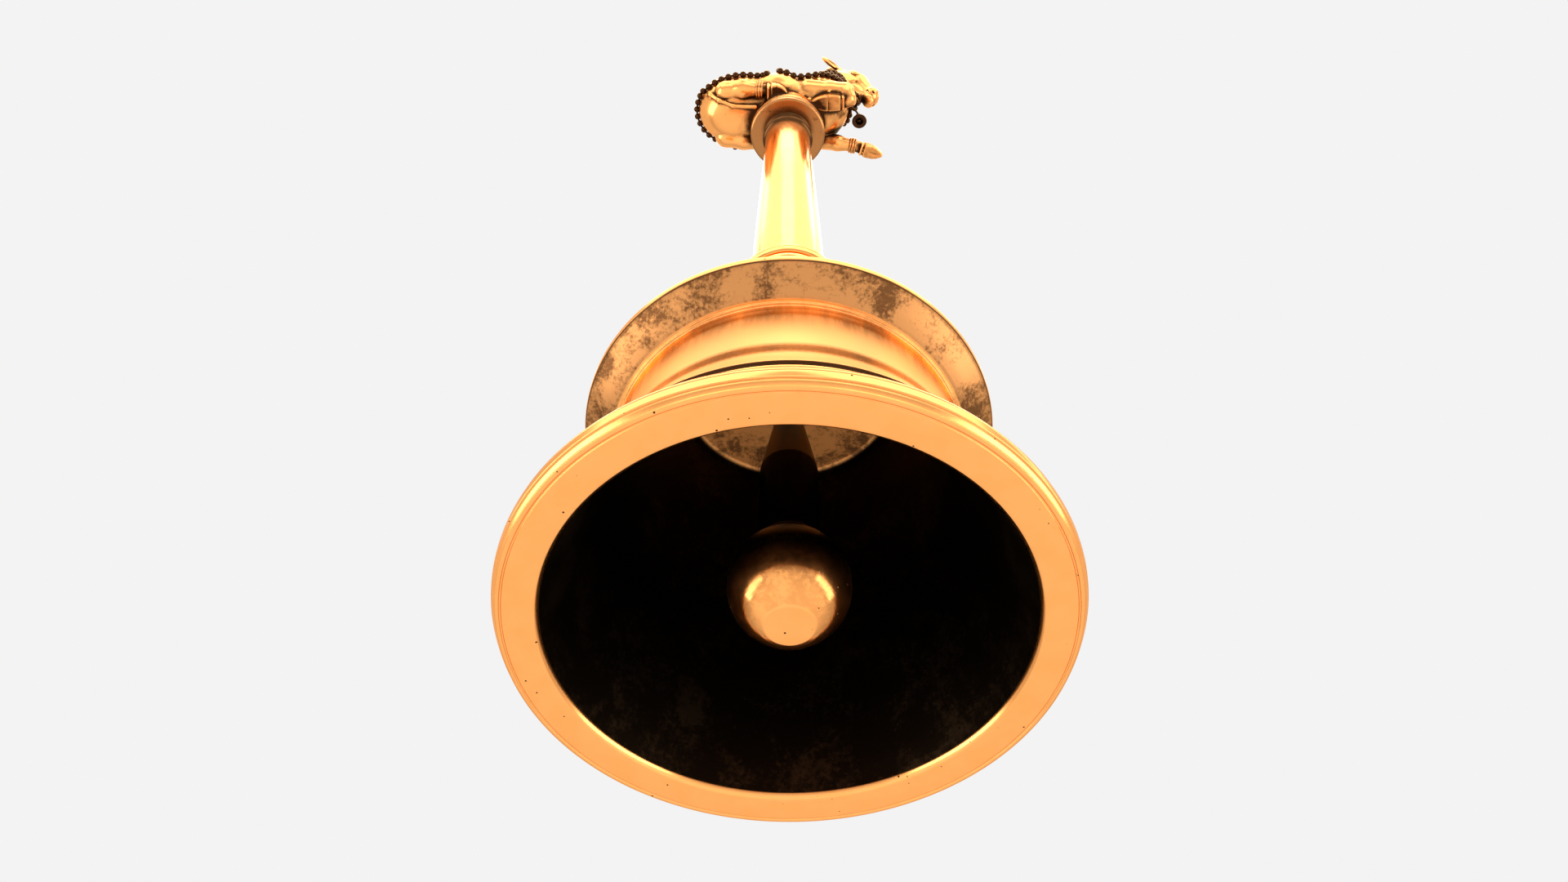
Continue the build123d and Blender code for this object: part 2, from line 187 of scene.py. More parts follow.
def opposite(tree, mask):
    """1 where the mask is 0, and 0 where it is 1."""
    return maths(tree, "SUBTRACT", 1.0, mask)


def ramp(tree, value, low, high):
    """0 below low, 1 above high, smooth between."""
    node = add_node(tree, "ShaderNodeMapRange", interpolation_type="SMOOTHSTEP", clamp=True)
    node.inputs["From Min"].default_value = low
    node.inputs["From Max"].default_value = high
    tree.links.new(value, node.inputs["Value"])
    return node.outputs["Result"]


def mixed(tree, factor, a, b):
    """Colour a to colour b by factor; a and b are sockets or (r, g, b)."""
    node = add_node(tree, "ShaderNodeMix", data_type="RGBA")
    tree.links.new(factor, node.inputs["Factor"])
    for socket, value in ((node.inputs[6], a), (node.inputs[7], b)):
        if isinstance(value, tuple):
            socket.default_value = (*value, 1)
        else:
            tree.links.new(value, socket)
    return node.outputs[2]


def edge_wear_and_shade_group():
    """Masks for a casting: ridges rubbed bright, and creases found by ambient occlusion, which take patina
    and painted shade.
    """
    group, inside, out = new_group(
        "edge wear and crease shade",
        [
            ("Reach", "in", "NodeSocketFloat", 0.0006),
            ("Crease", "out", "NodeSocketFloat", None),
            ("Ridge", "out", "NodeSocketFloat", None),
        ],
    )
    dirt = add_node(group, "ShaderNodeAmbientOcclusion", samples=8, only_local=False)
    group.links.new(inside.outputs["Reach"], dirt.inputs["Distance"])
    crease = maths(group, "SUBTRACT", 1.0, dirt.outputs["AO"], clamp=True)
    group.links.new(crease, out.inputs["Crease"])
    point = add_node(group, "ShaderNodeNewGeometry")
    group.links.new(ramp(group, point.outputs["Pointiness"], 0.505, 0.56), out.inputs["Ridge"])
    return group


def patina_group():
    """Mottled brown patina: broad clouds broken up by fine granular spots."""
    group, inside, out = new_group(
        "patina",
        [
            ("Vector", "in", "NodeSocketVector", None),
            ("Cloud Scale", "in", "NodeSocketFloat", 90.0),
            ("Spot Scale", "in", "NodeSocketFloat", 1400.0),
            ("Amount", "in", "NodeSocketFloat", 0.5),
            ("Mask", "out", "NodeSocketFloat", None),
        ],
    )
    clouds = add_node(group, "ShaderNodeTexNoise", in_Detail=6.0, in_Roughness=0.62, in_Distortion=0.4)
    spots = add_node(group, "ShaderNodeTexNoise", in_Detail=3.0, in_Roughness=0.75)
    for noise, scale in ((clouds, "Cloud Scale"), (spots, "Spot Scale")):
        group.links.new(inside.outputs["Vector"], noise.inputs["Vector"])
        group.links.new(inside.outputs[scale], noise.inputs["Scale"])
    rough = maths(group, "MULTIPLY", maths(group, "SUBTRACT", spots.outputs["Fac"], 0.5), 0.55)
    field = maths(group, "ADD", clouds.outputs["Fac"], rough)
    level = maths(group, "SUBTRACT", 1.0, inside.outputs["Amount"])
    shifted = maths(group, "SUBTRACT", field, level)
    group.links.new(ramp(group, shifted, -0.10, 0.14), out.inputs["Mask"])
    return group


def pits_group():
    """Sparse pinholes left by the casting, as a mask."""
    group, inside, out = new_group(
        "casting pits",
        [
            ("Vector", "in", "NodeSocketVector", None),
            ("Scale", "in", "NodeSocketFloat", 800.0),
            ("Size", "in", "NodeSocketFloat", 0.14),
            ("Share", "in", "NodeSocketFloat", 0.3),
            ("Pits", "out", "NodeSocketFloat", None),
        ],
    )
    cells = add_node(group, "ShaderNodeTexVoronoi", feature="F1")
    group.links.new(inside.outputs["Vector"], cells.inputs["Vector"])
    group.links.new(inside.outputs["Scale"], cells.inputs["Scale"])
    split = add_node(group, "ShaderNodeSeparateColor")
    group.links.new(cells.outputs["Color"], split.inputs["Color"])
    chosen = maths(group, "LESS_THAN", split.outputs[0], inside.outputs["Share"])
    radius = maths(group, "MULTIPLY", inside.outputs["Size"], split.outputs[1])
    near = maths(group, "LESS_THAN", cells.outputs["Distance"], radius)
    group.links.new(maths(group, "MULTIPLY", chosen, near), out.inputs["Pits"])
    return group


def turning_group():
    """Fine rings left by the lathe tool, as a height that runs up the axis."""
    group, inside, out = new_group(
        "turning marks",
        [
            ("Vector", "in", "NodeSocketVector", None),
            ("Pitch", "in", "NodeSocketFloat", 2600.0),
            ("Height", "out", "NodeSocketFloat", None),
        ],
    )
    parts = add_node(group, "ShaderNodeSeparateXYZ")
    group.links.new(inside.outputs["Vector"], parts.inputs[0])
    squares = [maths(group, "MULTIPLY", parts.outputs[i], parts.outputs[i]) for i in (0, 1)]
    across = maths(group, "SQRT", maths(group, "ADD", *squares))
    along = add_node(group, "ShaderNodeCombineXYZ")
    group.links.new(across, along.inputs[0])
    group.links.new(parts.outputs[2], along.inputs[2])
    lines = add_node(group, "ShaderNodeTexNoise", in_Detail=2.0, in_Roughness=0.6)
    group.links.new(inside.outputs["Pitch"], lines.inputs["Scale"])
    group.links.new(along.outputs[0], lines.inputs["Vector"])
    group.links.new(lines.outputs["Fac"], out.inputs["Height"])
    return group


EDGE_WEAR_AND_SHADE = edge_wear_and_shade_group()
PATINA = patina_group()
PITS = pits_group()
TURNING = turning_group()
GLANCING_TINT = (1.0, 0.81, 0.62, 1.0)


def level(tree, vector, part):
    """One coordinate of the Object vector in metres; part 3 is the distance from the bell's axis."""
    split = add_node(tree, "ShaderNodeSeparateXYZ")
    tree.links.new(vector, split.inputs[0])
    if part < 3:
        return split.outputs[part]
    flat = add_node(tree, "ShaderNodeCombineXYZ")
    tree.links.new(split.outputs[0], flat.inputs[0])
    tree.links.new(split.outputs[1], flat.inputs[1])
    length = add_node(tree, "ShaderNodeVectorMath", operation="LENGTH")
    tree.links.new(flat.outputs[0], length.inputs[0])
    return length.outputs["Value"]


def within(tree, value, low, high, soft=0.0003):
    """A mask that is 1 from low to high millimetres, with soft edges in metres."""
    rise = ramp(tree, value, low * MM - soft, low * MM + soft)
    fall = ramp(tree, value, high * MM - soft, high * MM + soft)
    return product(tree, rise, opposite(tree, fall))


def stained(tree, cloud, spot, amount):
    """The patina group, set for the size of its clouds and spots and how much it covers."""
    scales = {"in_Cloud_Scale": cloud, "in_Spot_Scale": spot}
    return add_node(tree, "ShaderNodeGroup", node_tree=PATINA, in_Amount=amount, **scales)


def brass(
    name,
    bright,
    dark,
    patina=0.35,
    crease=0.8,
    reach=0.0012,
    gloss=0.14,
    turned=True,
    cloud=90.0,
    spot=1400.0,
    pits=0.25,
    zones=None,
    carved=False,
):
    """A brass finish: polished metal, patina in clouds and creases with painted shade deepening the creases,
    pits and tool marks.

    zones is an optional function of the tree and the Object vector that gives a list of
    (mask, colour, roughness) for stretches with a colour of their own, some of it painted shade or sheen.
    """
    material = bpy.data.materials.new(name)
    material.use_nodes = True
    tree = material.node_tree
    shader = tree.nodes["Principled BSDF"]
    shader.inputs["Metallic"].default_value = 1.0
    shader.inputs["Specular Tint"].default_value = GLANCING_TINT
    vector = add_node(tree, "ShaderNodeTexCoord").outputs["Object"]

    wear = add_node(tree, "ShaderNodeGroup", node_tree=EDGE_WEAR_AND_SHADE, in_Reach=reach)
    stain = stained(tree, cloud, spot, patina)
    holes = add_node(tree, "ShaderNodeGroup", node_tree=PITS, in_Share=pits)
    for group in (stain, holes):
        tree.links.new(vector, group.inputs["Vector"])

    # darkening in creases from ambient occlusion: partly patina, partly painted shade
    crease_patina_and_shade = maths(tree, "MULTIPLY", ramp(tree, wear.outputs["Crease"], 0.12, 0.6), crease)
    if carved:
        # the stored cavity darkens hollows, and the belly near the plinth, as patina and painted shade
        closed = add_node(tree, "ShaderNodeAttribute", attribute_name="cavity").outputs["Fac"]
        grit = add_node(tree, "ShaderNodeTexNoise", in_Scale=900.0, in_Detail=5.0, in_Roughness=0.75)
        tree.links.new(vector, grit.inputs["Vector"])
        uneven = maths(tree, "MULTIPLY", maths(tree, "SUBTRACT", grit.outputs["Fac"], 0.5), 0.30)
        crease_patina_and_shade = maths(tree, "MAXIMUM", crease_patina_and_shade, ramp(tree, maths(tree, "ADD", closed, uneven), 0.03, 0.42))
    rubbed = maths(tree, "SUBTRACT", 1.0, wear.outputs["Ridge"], clamp=True)
    patina_pits_and_shade = maths(tree, "MULTIPLY", maths(tree, "MAXIMUM", crease_patina_and_shade, stain.outputs["Mask"]), rubbed)
    patina_pits_and_shade = maths(tree, "MAXIMUM", patina_pits_and_shade, holes.outputs["Pits"], clamp=True)

    tone = add_node(tree, "ShaderNodeTexNoise", in_Scale=260.0, in_Detail=4.0)
    tree.links.new(vector, tone.inputs["Vector"])
    warm = tuple(c * f for c, f in zip(bright, (0.98, 0.95, 0.90)))
    metal = mixed(tree, ramp(tree, tone.outputs["Fac"], 0.35, 0.7), bright, warm)
    colour = mixed(tree, patina_pits_and_shade, metal, dark)

    smear = add_node(tree, "ShaderNodeTexNoise", in_Scale=120.0, in_Detail=5.0, in_Roughness=0.6)
    tree.links.new(vector, smear.inputs["Vector"])
    handled = maths(tree, "MULTIPLY_ADD", smear.outputs["Fac"], 0.10)
    handled.node.inputs[2].default_value = gloss - 0.05
    rough = maths(tree, "MULTIPLY_ADD", patina_pits_and_shade, 0.30)
    tree.links.new(handled, rough.node.inputs[2])
    for mask, paint, dull in zones(tree, vector) if zones else ():
        colour = mixed(tree, mask, colour, paint)
        rough = maths(tree, "MAXIMUM", rough, maths(tree, "MULTIPLY", mask, dull))
    tree.links.new(colour, shader.inputs["Base Color"])
    tree.links.new(rough, shader.inputs["Roughness"])

    grain = add_node(tree, "ShaderNodeTexNoise", in_Scale=900.0, in_Detail=4.0, in_Roughness=0.7)
    tree.links.new(vector, grain.inputs["Vector"])
    height = maths(tree, "MULTIPLY", grain.outputs["Fac"], 0.35)
    if turned:
        marks = add_node(tree, "ShaderNodeGroup", node_tree=TURNING)
        tree.links.new(vector, marks.inputs["Vector"])
        height = maths(tree, "ADD", height, marks.outputs["Height"])
    height = maths(tree, "SUBTRACT", height, maths(tree, "MULTIPLY", holes.outputs["Pits"], 6.0))
    height = maths(tree, "ADD", height, maths(tree, "MULTIPLY", patina_pits_and_shade, 0.8))
    bump = add_node(tree, "ShaderNodeBump", in_Strength=0.3, in_Distance=0.00002)
    tree.links.new(height, bump.inputs["Height"])
    tree.links.new(bump.outputs["Normal"], shader.inputs["Normal"])
    return material


def mottle(tree, vector, cloud, spot, amount, pale, deep):
    """Colours of an unpolished casting: pale metal with deep brown clouds and grains."""
    stain = stained(tree, cloud, spot, amount)
    tree.links.new(vector, stain.inputs["Vector"])
    return mixed(tree, stain.outputs["Mask"], pale, deep)


WALL_MIDDLE_R, WALL_LEAN = 35.6, 0.222


def bell_zones(tree, vector):
    """The black inside, the mottled ceiling and flange, dark bands in the turned steps, painted shade under
    the flange and a paler painted sheen on the waist.
    """
    height = level(tree, vector, 2)
    across = level(tree, vector, 3)
    # the surface that parts the inside from the outside leans in as it rises from the mouth
    lean = maths(tree, "MULTIPLY_ADD", height, -WALL_LEAN)
    lean.node.inputs[2].default_value = WALL_MIDDLE_R * MM
    inward = ramp(tree, maths(tree, "SUBTRACT", lean, across), 0.0, 0.0002)
    outer = opposite(tree, inward)
    above = ramp(tree, height, 64.2 * MM, 64.6 * MM)
    inside = product(tree, inward, ramp(tree, height, 0.75 * MM, 1.0 * MM), opposite(tree, above))
    middle, outskirts = within(tree, across, -1.0, 19.6, 0.0004), ramp(tree, across, 29.0 * MM, 29.3 * MM)
    ceiling = product(tree, within(tree, height, 63.2, 64.2, 0.0001), middle)
    flange = product(tree, within(tree, height, 41.9, 45.42, 0.0001), outskirts)
    rim = product(tree, within(tree, height, 45.2, 45.75, 0.0001), within(tree, across, 33.35, 33.9, 0.0001))
    waist = product(tree, within(tree, height, 15.9, 39.5, 0.0012), outer)
    foot = within(tree, height, 15.05, 16.5, 0.0002)
    ledge = within(tree, height, 12.2, 13.9, 0.0004)
    steps = product(tree, maths(tree, "MAXIMUM", foot, ledge), ramp(tree, across, 33.0 * MM, 33.2 * MM))
    streak = add_node(tree, "ShaderNodeTexNoise", in_Scale=1.0, in_Detail=5.0, in_Roughness=0.7)
    squash = add_node(tree, "ShaderNodeVectorMath", operation="MULTIPLY")
    squash.inputs[1].default_value = (260.0, 260.0, 30.0)
    tree.links.new(vector, squash.inputs[0])
    tree.links.new(squash.outputs[0], streak.inputs["Vector"])
    streaked = ramp(tree, streak.outputs["Fac"], 0.25, 0.75)
    # streaky darkening at the top of the waist, under the flange: streaked patina with painted shade from the
    # overhang
    under = product(tree, within(tree, height, 37.0, 41.7, 0.0032), outer, streaked)
    brown = mottle(tree, vector, 120.0, 1300.0, 0.60, (0.050, 0.028, 0.014), (0.014, 0.008, 0.004))
    roof = mottle(tree, vector, 170.0, 1500.0, 0.46, (0.85, 0.36, 0.11), (0.22, 0.09, 0.03))
    cove = mottle(tree, vector, 170.0, 1700.0, 0.47, (0.53, 0.23, 0.075), (0.15, 0.060, 0.020))
    return [
        # the outer waist gets a paler, yellower brass: a painted sheen for its bright reflection
        (waist, (1.0, 0.50, 0.17), 0.40),
        (under, (0.24, 0.11, 0.04), 0.4),
        (rim, (0.06, 0.024, 0.009), 0.4),
        (steps, (0.05, 0.019, 0.007), 0.35),
        (flange, cove, 0.36),
        (inside, brown, 0.40),
        (ceiling, roof, 0.38),
    ]


def striker_zones(tree, vector):
    """The clapper is painted near black above the ball's middle, as painted shade, with mottled brass on the
    lower ball.
    """
    height = level(tree, vector, 2)
    ragged = add_node(tree, "ShaderNodeTexNoise", in_Scale=500.0, in_Detail=5.0, in_Roughness=0.75)
    tree.links.new(vector, ragged.inputs["Vector"])
    edge = maths(tree, "MULTIPLY_ADD", ragged.outputs["Fac"], 0.0030)
    tree.links.new(height, edge.node.inputs[2])
    shaded_upper = ramp(tree, edge, 9.2 * MM, 12.6 * MM)
    wall = ramp(tree, height, 1.72 * MM, 1.9 * MM)
    upward = maths(tree, "ADD", 0.3, ramp(tree, height, 1.0 * MM, 9.0 * MM))
    rubbed = maths(tree, "MULTIPLY", wall, upward, clamp=True)
    struck = mottle(tree, vector, 260.0, 1500.0, 0.52, (0.86, 0.35, 0.10), (0.40, 0.155, 0.045))
    # near-black mottle: painted shade on the stem and the upper ball
    brown = mottle(tree, vector, 150.0, 1300.0, 0.45, (0.012, 0.006, 0.003), (0.004, 0.002, 0.001))
    return [(rubbed, struck, 0.24), (shaded_upper, brown, 0.36)]


def handle_zones(tree, vector):
    """A painted reflection of the dark capital disc, darkening the top of the handle."""
    height = level(tree, vector, 2)
    ragged = add_node(tree, "ShaderNodeTexNoise", in_Scale=420.0, in_Detail=5.0, in_Roughness=0.75)
    tree.links.new(vector, ragged.inputs["Vector"])
    edge = maths(tree, "MULTIPLY_ADD", ragged.outputs["Fac"], 0.006)
    tree.links.new(height, edge.node.inputs[2])
    painted_capital_reflection = maths(tree, "MULTIPLY", ramp(tree, edge, 172.0 * MM, 190.0 * MM), 0.85)
    return [(painted_capital_reflection, (0.42, 0.21, 0.085), 0.45)]


GOLD = (1.0, 0.418, 0.12)
BROWN = (0.10, 0.038, 0.013)
PEWTER, STEEL_DIRT = (0.42, 0.40, 0.37), (0.09, 0.07, 0.05)
bell_brass = brass(
    "bell brass", GOLD, BROWN, patina=0.10, crease=0.5, gloss=0.22, pits=0.35, zones=bell_zones
)
handle_brass = brass(
    "handle brass", GOLD, BROWN, patina=0.10, crease=0.7, gloss=0.13, pits=0.1, zones=handle_zones
)
capital_brass = brass(
    "capital brass", (0.42, 0.18, 0.058), BROWN, patina=0.32, gloss=0.26, cloud=260.0, spot=1800.0
)
clapper_brass = brass("clapper brass", GOLD, BROWN, patina=0.12, gloss=0.17, pits=0.5, zones=striker_zones)
# the figure's dark creases and its darkening near the plinth are partly patina, partly painted shade
figure_brass = brass(
    "figure brass", GOLD, (0.045, 0.018, 0.007), patina=0.27, crease=0.9, reach=0.004,
    turned=False, gloss=0.22, cloud=260.0, spot=1700.0, pits=0.15, carved=True,
)
bead_brass = brass(
    "antiqued beads", (0.050, 0.020, 0.008), (0.012, 0.006, 0.003), patina=0.35,
    turned=False, gloss=0.14, cloud=500.0, pits=0.05,
)
# The collar's dark brass is partly patina and partly painted shade under the capital disc, deepest in its
# neck groove.
collar_brass = brass(
    "collar brass", (0.10, 0.042, 0.015), (0.02, 0.008, 0.003), patina=0.35, crease=1.0,
    reach=0.003, gloss=0.24,
)
anklet_brass = brass(
    "anklet brass", (0.62, 0.27, 0.085), (0.040, 0.016, 0.006), crease=1.0,
    turned=False, gloss=0.2, cloud=400.0,
)
plain_steel = brass("dulled steel", PEWTER, STEEL_DIRT, patina=0.4, gloss=0.30, turned=False)

# ---------------------------------------------------------------- the turned pieces

LIP_R, LIP_Z = 36.95, 8.7
BAND_R, BAND_Z = 34.0, 14.0
WAIST_R, WAIST_Z = 33.85, 16.2
FLANGE_R, FLANGE_Z = 33.5, 45.3
CEILING_R, CEILING_Z = 20.5, 63.7
CROWN_R, CROWN_Z = 11.0, 70.0
ROD_R = 3.0
FERRULE_TOP_Z, BASE_RING_TOP_Z = 96.6, 100.4
COLLAR_Z, CAPITAL_Z, PLINTH_Z, FIGURE_Z = 183.2, 187.7, 190.6, 194.0


def bell_outline():
    """The bell's wall: mouth, lip, waist, shoulder flange, crown, then back down inside."""
    lip = eased([(40.12, 0.5), (40.42, 0.95), (40.2, 1.1), (40.25, 1.3), (40.6, 1.4), (40.72, 2.1)], 0.1)
    lip += eased([(40.72, 2.1), (40.72, 2.6), (40.4, 2.75), (40.4, 2.95), (40.6, 3.1)], 0.1)[1:]
    lip += smooth_run([(40.6, 3.1), (40.1, 4.3), (38.9, 6.2), (LIP_R, LIP_Z)], 7)[1:]
    step = [(LIP_R, LIP_Z), (36.75, 9.0), (35.9, 9.5), (34.6, 10.4), (34.0, 12.0), (33.6, 14.0)]
    step += [(BAND_R, BAND_Z)]
    band = [(BAND_R, BAND_Z), (34.0, 14.85), (33.5, 15.1), (33.5, 15.9), (WAIST_R, WAIST_Z)]
    waist = [(WAIST_R, WAIST_Z), (32.2, 19.2), (30.6, 23.0), (29.3, 28.0), (28.5, 34.0), (28.12, 39.0)]
    waist += [(28.2, 40.9)]
    ridge = [(28.2, 40.9), (28.3, 41.5), (28.7, 41.65), (28.75, 41.95), (29.05, 42.05), (29.5, 42.25)]
    cove = [(29.5, 42.25), (30.8, 43.15), (32.2, 44.25), (FLANGE_R, FLANGE_Z)]
    rim = [(FLANGE_R, FLANGE_Z), (33.72, 45.4), (33.76, 45.52), (33.98, 45.85), (34.0, 46.65), (33.7, 46.8)]
    rim += [(31.6, 47.0), (31.2, 47.4)]
    crown = smooth_run([(31.2, 47.4), (30.6, 51.2), (28.4, 56.5), (25.5, 61.3)], 10)
    line_one = [(25.5, 61.3), (25.15, 61.5), (24.85, 61.9), (24.95, 62.2)]
    top = smooth_run([(24.95, 62.2), (21.5, 65.6), (16.2, 68.7), (CROWN_R, CROWN_Z)], 10)
    ceiling = eased([(CROWN_R, CROWN_Z), (ROD_R, CROWN_Z), (ROD_R, CEILING_Z), (18.9, CEILING_Z)], 0.15)
    bend = arc((18.9, 62.1), 1.6, 90, 4, 5)
    inside = [(CEILING_R, 62.2), (22.2, 52.5), (24.6, 42.0), (27.0, 30.0), (29.7, 18.0), (33.0, 5.0)]
    inside += [(34.15, 0.6)]
    mouth = [(34.15, 0.6), (34.6, 0.06), (34.9, 0.0), (39.0, 0.0), (39.1, 0.14), (39.3, 0.14), (39.4, 0.0)]
    mouth += [(39.7, 0.0), (40.0, 0.12), (39.95, 0.32), (40.12, 0.5)]
    stretches = [lip, eased(step, 0.2), eased(band, 0.12), smooth_run(waist, 10), eased(ridge, 0.1)]
    stretches += [smooth_run(cove, 6), eased(rim, 0.12), crown, line_one, top, ceiling, bend]
    stretches += [smooth_run(inside, 9), eased(mouth, 0.12)]
    outline = []
    for stretch in stretches:
        meets = outline and np.hypot(*np.subtract(outline[-1], stretch[0])) < 0.02
        outline += stretch[1:] if meets else stretch
    outline[-1] = outline[0]
    return outline


turned("bell_shell_turned", bell_outline(), bell_brass, "bell_brass", "bell_shell")

ferrule = (
    eased([(ROD_R, CROWN_Z), (CROWN_R, CROWN_Z), (CROWN_R + 0.2, 70.5), (CROWN_R, 71.5), (10.1, 72.0)], 0.2)
    + smooth_run([(10.1, 72.0), (8.6, 75.0), (7.5, 79.5), (7.2, 84.0)])[1:]
    + eased([(7.2, 84.0), (8.3, 84.35), (8.9, 85.0), (8.9, 86.0), (8.3, 86.7), (7.4, 87.0)], 0.4)[1:]
    + smooth_run([(7.4, 87.0), (7.4, 89.0), (8.1, 91.6), (9.3, 93.0)])[1:]
    + arc((9.2, 94.7), 1.7, -85, 85, 12)
    + eased([(9.3, 96.4), (8.6, FERRULE_TOP_Z), (ROD_R, FERRULE_TOP_Z), (ROD_R, CROWN_Z)], 0.1)
)
turned("neck_ferrule_turned", ferrule, handle_brass, "handle_brass", "neck_ferrule")

base_ring = [(ROD_R, FERRULE_TOP_Z), (8.9, FERRULE_TOP_Z), (8.9, 97.4), (10.2, 97.5), (10.55, 97.9)]
base_ring += [(10.6, 98.9), (10.45, 99.05), (10.6, 99.2), (10.55, 100.0), (10.2, BASE_RING_TOP_Z)]
base_ring = eased(base_ring + [(ROD_R, BASE_RING_TOP_Z), (ROD_R, FERRULE_TOP_Z)], 0.14)
turned("base_ring_turned", base_ring, handle_brass, "handle_brass", "handle_base_ring")

grip = [(8.7, 100.8), (7.9, 101.7), (7.62, 104.0), (7.56, 111.0), (7.48, 118.0), (7.25, 128.0)]
grip += [(6.96, 138.5), (6.5, 155.0), (5.98, 172.0), (5.8, COLLAR_Z)]
shaft = (
    eased([(0, 128.0), (ROD_R, 128.0), (ROD_R, BASE_RING_TOP_Z), (9.0, BASE_RING_TOP_Z), (8.7, 100.8)], 0.1)
    + smooth_run(grip)[1:]
    + [(0, COLLAR_Z)]
)
turned("handle_shaft_turned", shaft, handle_brass, "handle_brass", "handle_shaft")

collar = (
    [(0, COLLAR_Z), (5.9, COLLAR_Z)]
    + arc((5.62, 184.1), 0.92, -70, 70, 8)
    + smooth_run([(5.9, 185.1), (5.5, 185.5), (5.3, 186.3), (5.6, 187.2), (6.2, CAPITAL_Z)])
    + [(0, CAPITAL_Z)]
)
turned("collar_turned", collar, collar_brass, "handle_brass", "handle_collar")

capital = [(0, CAPITAL_Z), (9.35, CAPITAL_Z), (9.8, 188.0), (9.8, 188.9), (9.55, 189.1), (9.8, 189.3)]
capital = eased(capital + [(9.8, 190.2), (9.5, PLINTH_Z), (0, PLINTH_Z)], 0.12)
turned("capital_turned", capital, capital_brass, "handle_brass", "capital_disc")

plinth = [(0, PLINTH_Z), (9.2, PLINTH_Z), (9.0, 191.2), (8.5, 192.2), (8.6, 193.4), (8.8, FIGURE_Z)]
turned("plinth_cast", eased(plinth + [(0, FIGURE_Z)], 0.25), figure_brass, "figure_brass", "figure_plinth")

BALL_R, BALL_Z, BALL_END_Z, STEM_R = 9.0, 9.9, 1.65, 4.7
ball_end_r = sqrt(BALL_R**2 - (BALL_Z - BALL_END_Z) ** 2)
ball_end_angle = -np.degrees(np.arccos(ball_end_r / BALL_R))
first_on_ball = arc((0, BALL_Z), BALL_R, ball_end_angle + 6, 0, 1)[0]
striker = (
    eased([(0, BALL_END_Z), (ball_end_r, BALL_END_Z), first_on_ball], 0.1)
    + arc((0, BALL_Z), BALL_R, ball_end_angle + 7, 56, 22)
    + smooth_run([(4.95, 17.5), (4.78, 18.3), (STEM_R + 0.03, 18.9)], 4)
    + [(STEM_R - 0.3, 19.0), (0, 19.0)]
)
turned("clapper_turned", striker, clapper_brass, "clapper_brass", "clapper_ball", "clapper", ROUND // 2)

for node in ("clapper_stem", "tie_rod", "crown_washer", "crown_nut", "clapper_staple", "clapper_link"):
    finish = clapper_brass if node == "clapper_stem" else plain_steel
    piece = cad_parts[node]
    piece.data.materials.clear()
    piece.data.materials.append(finish)

# ---------------------------------------------------------------- the bull, carved as one casting

BODY_Y = -1.5
BELLY_Z = 195.0


def blend_in(shape, other, soft):
    """Join two distance fields with a fillet about soft millimetres wide."""
    h = np.clip(0.5 + 0.5 * (shape - other) / soft, 0, 1)
    return shape * (1 - h) + other * h - soft * h * (1 - h)


def carve_out(shape, other, soft):
    """Cut one distance field out of another, with a rounded brink."""
    return -blend_in(-shape, other, soft)


def egg(p, centre, radii, pitch=0.0, yaw=0.0):
    """Distance to an ellipsoid, tipped by pitch about Y and then turned by yaw about Z, in degrees."""
    q = p - np.array(centre, np.float32)
    a, b = radians(yaw), radians(pitch)
    x, y = q[:, 0] * cos(a) + q[:, 1] * sin(a), -q[:, 0] * sin(a) + q[:, 1] * cos(a)
    x, z = x * cos(b) - q[:, 2] * sin(b), x * sin(b) + q[:, 2] * cos(b)
    r = np.array(radii, np.float32)
    k0 = np.sqrt((x / r[0]) ** 2 + (y / r[1]) ** 2 + (z / r[2]) ** 2)
    k1 = np.sqrt((x / r[0] ** 2) ** 2 + (y / r[1] ** 2) ** 2 + (z / r[2] ** 2) ** 2)
    return k0 * (k0 - 1) / np.maximum(k1, 1e-6)


def rod(p, start, end, start_r, end_r):
    """Distance to a straight limb with round ends."""
    a, b = np.array(start, np.float32), np.array(end, np.float32)
    along = b - a
    t = np.clip((p - a) @ along / (along @ along), 0, 1)
    return np.linalg.norm(p - a - t[:, None] * along, axis=1) - (start_r + (end_r - start_r) * t)


def chain(p, joints, radii, soft):
    """Distance to limbs joined end to end."""
    shape = rod(p, joints[0], joints[1], radii[0], radii[1])
    for i in range(1, len(joints) - 1):
        shape = blend_in(shape, rod(p, joints[i], joints[i + 1], radii[i], radii[i + 1]), soft)
    return shape


def ring_about(p, centre, along, ring_r, wire_r):
    """Distance to a ring round an axis."""
    n = np.array(along, np.float32)
    n = n / np.linalg.norm(n)
    q = p - np.array(centre, np.float32)
    h = q @ n
    out = np.linalg.norm(q - h[:, None] * n, axis=1) - ring_r
    return np.hypot(out, h) - wire_r


